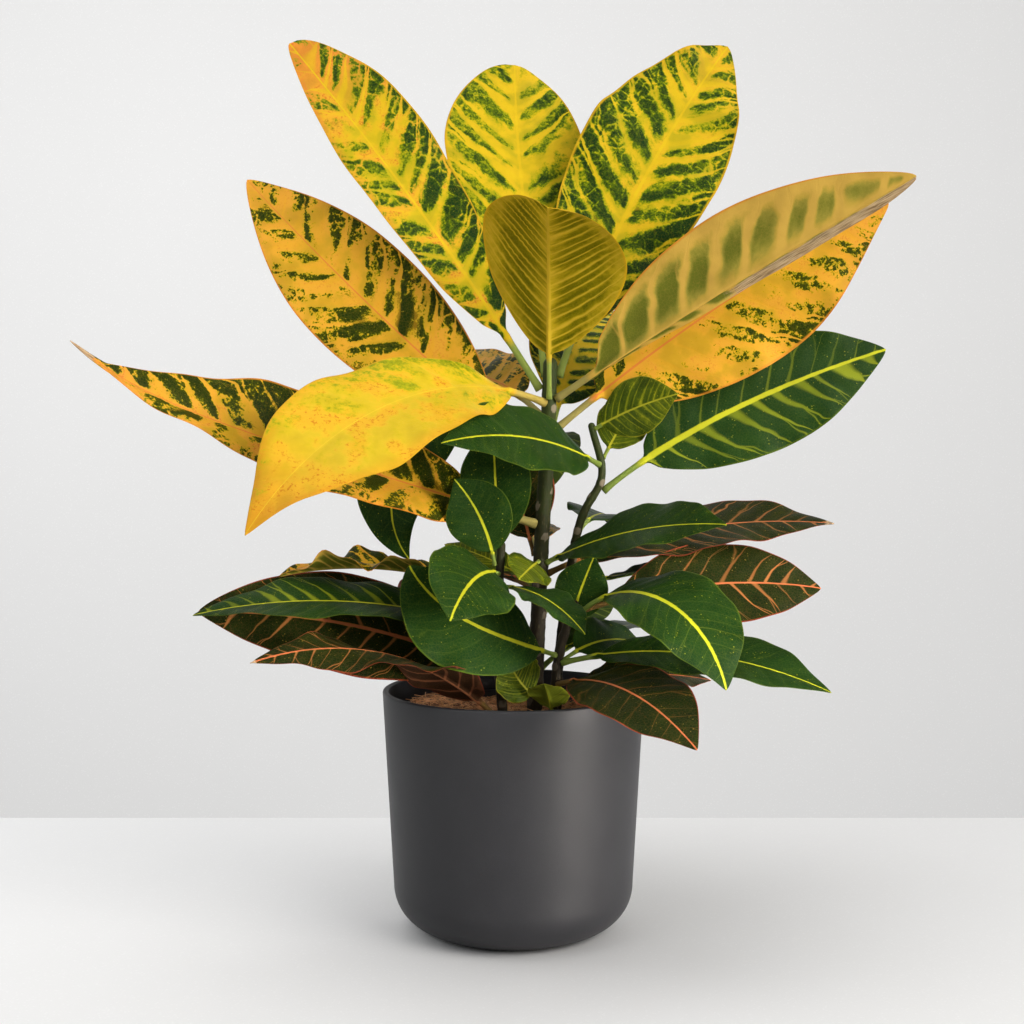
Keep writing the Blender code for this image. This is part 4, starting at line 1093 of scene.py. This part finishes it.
def scattered(name, tree, outer, inputs):
    """A plain mesh of what the tree strews on the potting mix's surface, up to a radius."""
    around, rings, inner = 60, 12, 0.002
    points = []
    for i in range(rings + 1):
        radius = inner + (outer - inner) * i / rings
        for k in range(around):
            angle = 2 * math.pi * k / around
            x, y = radius * math.cos(angle), radius * math.sin(angle)
            points.append((x, y, MIX_HIGH.z - DOME * (radius / MIX_HIGH.x) ** 2 + rough_height(x, y)))
    mesh = bpy.data.meshes.new(name + "_ground")
    mesh.from_pydata(points, [], [face[::-1] for face in tube_faces(rings + 1, around, False, False)])
    mesh.update()
    ground = placed(name + "_ground", mesh)
    modifier = ground.modifiers.new("strew", "NODES")
    modifier.node_group = tree
    for item in tree.interface.items_tree:
        if item.in_out == "INPUT" and item.name in inputs:
            modifier[item.identifier] = inputs[item.name]
    made = bpy.data.meshes.new_from_object(ground.evaluated_get(bpy.context.evaluated_depsgraph_get()))
    bpy.data.objects.remove(ground)
    if not made.polygons:
        raise RuntimeError(f"{name}: nothing was strewn")
    made.name = name
    return placed(name, made)


# Operators ----------------------------------------------------------------------------------------------------
class CROTON_OT_stage(Operator):
    """Table, backdrop, lights and camera"""
    bl_idname = "croton.stage"
    bl_label = "Stage"

    def execute(self, context):
        settings = context.scene.croton_stage
        table_finish = Grain(settings.floor_colour, 0.75, 0.002, 0.6, 0.02, 0.01, 0.5, 0.012)
        wall_finish = Grain(settings.wall_colour, 0.9, 0.004, 1.2, 0.02, 0.01, 0.5, 0.012)
        wide, near, back, edge = 4.0, -4.0, settings.depth, 0.003
        profile = [(near, 0), (back - edge, 0), (back, -edge), (back, -0.8)]
        points = [(x, y, z) for y, z in profile for x in (-wide, wide)]
        faces = [(2 * i, 2 * i + 1, 2 * i + 3, 2 * i + 2) for i in range(len(profile) - 1)]
        add_mesh("table", points, faces, grained_material("table top", table_finish))
        behind = 2.6
        points = [(-7, behind, -3), (7, behind, -3), (7, behind, 5), (-7, behind, 5)]
        add_mesh("backdrop", points, [(0, 1, 2, 3)], grained_material("backdrop", wall_finish))
        world = context.scene.world or bpy.data.worlds.new("surround")
        context.scene.world = world
        world.use_nodes = True
        sky = world.node_tree.nodes["Background"]
        sky.inputs["Color"].default_value = (1.0, 1.0, 1.0, 1)
        sky.inputs["Strength"].default_value = settings.sky
        for lamp in LAMPS:
            light = bpy.data.lights.new(lamp.name, "AREA")
            light.shape = "RECTANGLE"
            light.size, light.size_y = lamp.width, lamp.height
            light.energy = getattr(settings, lamp.name)
            light.color = lamp.colour
            light.spread = math.radians(lamp.spread)
            thing = placed(lamp.name, light)
            thing.location = lamp.place
            thing.rotation_euler = (Vector(lamp.target) - thing.location).to_track_quat("-Z", "Y").to_euler()
        camera = bpy.data.cameras.new("camera")
        camera.lens = 50
        camera.sensor_width = 36
        thing = placed("camera", camera)
        thing.location = CAMERA_PLACE
        thing.rotation_euler = (math.radians(90 - CAMERA_DIP), 0, 0)
        context.scene.camera = thing
        context.scene.view_settings.view_transform = "Standard"
        return {"FINISHED"}


class CROTON_OT_pots(Operator):
    """The cachepot and the nursery pot inside it"""
    bl_idname = "croton.pots"
    bl_label = "Pots"

    def execute(self, context):
        settings = context.scene.croton_pot
        lip, floor = 0.0015, 0.006
        inner_top, inner_base = POT_HIGH.x - settings.wall, settings.base_radius - settings.wall
        inner_corner = settings.corner - settings.wall
        profile = [(0, 0), (0.03, 0)]
        profile += arc((settings.base_radius - settings.corner, settings.corner), settings.corner, -90, 0, 24)
        low, high = profile[-1], (POT_HIGH.x, POT_HIGH.z - lip)
        profile += [(low[0] + (high[0] - low[0]) * t, low[1] + (high[1] - low[1]) * t)
                    for t in np.linspace(0, 1, 14)[1:-1]]
        profile += arc((POT_HIGH.x - lip, POT_HIGH.z - lip), lip, 0, 90, 8)
        profile += arc((inner_top + lip, POT_HIGH.z - lip), lip, 90, 180, 8)
        profile += arc((inner_base - inner_corner, floor + inner_corner), inner_corner, 0, -90, 12)
        profile += [(0, floor)]
        glaze = grained_material("matt glaze", Grain(settings.colour, 0.48, 0.0007, 0.02, 0.35, 0.12, 0.34, 0.09))
        finish_piece(lathe("cachepot", profile, 180, glaze), "glaze", "pot")
        plastic = Grain(settings.liner_colour, 0.5, 0.0009, 0.01, 0.3, 0.2, 0.5, 0.09)
        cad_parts["nursery_pot"].material_slots[0].material = grained_material("nursery plastic", plastic)
        return {"FINISHED"}


class CROTON_OT_mix(Operator):
    """The potting mix with its coir fibres and crumbs"""
    bl_idname = "croton.mix"
    bl_label = "Potting mix"

    def execute(self, context):
        settings = context.scene.croton_mix
        finish_piece(mix_mesh(mix_material(settings)), "mix", "potting_mix")
        coir = fibre_material(settings)
        outer = MIX_HIGH.x - 0.004
        area = math.pi * outer ** 2
        fibres = scatter_tree("strewn fibres", fibre_shapes, 5, 0.35, 0.0006, coir)
        crumbs = scatter_tree("strewn crumbs", crumb_shapes, 9, 1.5, 0.0003, coir)
        finish_piece(scattered("coir_fibres", fibres, outer, {
            "Density": settings.fibres / area, "Length": settings.fibre_length,
            "Thickness": settings.fibre_radius}), "mix")
        finish_piece(scattered("coir_crumbs", crumbs, outer, {
            "Density": settings.crumbs / area, "Length": settings.crumb_radius}), "mix")
        return {"FINISHED"}


class CROTON_OT_stems(Operator):
    """The four stems with their leaf scars"""
    bl_idname = "croton.stems"
    bl_label = "Stems"

    def execute(self, context):
        settings = context.scene.croton_stem
        bark = bark_material(settings)
        for name, stem in STEMS.items():
            finish_piece(stem_mesh(name + "_stem", stem, settings.scar, bark), "bark", "stem_" + name)
        return {"FINISHED"}


class CROTON_OT_leaves(Operator):
    """All leaves with their petioles"""
    bl_idname = "croton.leaves"
    bl_label = "Leaves"

    def execute(self, context):
        settings = context.scene.croton_leaf
        pattern = leaf_pattern_group()
        materials = {kind: leaf_material(kind + " leaf", palette, pattern, settings.gloss)
                     for kind, palette in palettes(settings).items()}
        for leaf in LEAVES:
            material = materials[LOOKS.get(leaf.name, leaf.kind)]
            finish_piece(leaf_mesh(leaf, settings, material), leaf.kind, "leaf_" + leaf.name)
        return {"FINISHED"}


class CROTON_PT_panel(Panel):
    """Sizes, colours and builders of the potted croton"""
    bl_idname = "CROTON_PT_panel"
    bl_label = "Potted croton"
    bl_space_type = "VIEW_3D"
    bl_region_type = "UI"
    bl_category = "Croton"

    def draw(self, context):
        for operator, settings in PANEL_ROWS:
            box = self.layout.box()
            box.operator(operator)
            group = getattr(context.scene, settings)
            for name in group.__annotations__:
                box.prop(group, name)


PANEL_ROWS = (("croton.pots", "croton_pot"), ("croton.mix", "croton_mix"), ("croton.stems", "croton_stem"),
              ("croton.leaves", "croton_leaf"), ("croton.stage", "croton_stage"))
SETTINGS = {"croton_pot": PotSettings, "croton_mix": MixSettings, "croton_stem": StemSettings,
            "croton_leaf": LeafSettings, "croton_stage": StageSettings}
CLASSES = (*SETTINGS.values(), CROTON_OT_pots, CROTON_OT_mix, CROTON_OT_stems, CROTON_OT_leaves, CROTON_OT_stage,
           CROTON_PT_panel)


def register():
    for made in CLASSES:
        bpy.utils.register_class(made)
    for name, group in SETTINGS.items():
        setattr(bpy.types.Scene, name, PointerProperty(type=group))


def unregister():
    for name in SETTINGS:
        delattr(bpy.types.Scene, name)
    for made in reversed(CLASSES):
        bpy.utils.unregister_class(made)


def main():
    register()
    bpy.ops.croton.pots()
    bpy.ops.croton.mix()
    bpy.ops.croton.stems()
    bpy.ops.croton.leaves()
    bpy.ops.croton.stage()


if __name__ == "__main__":
    main()
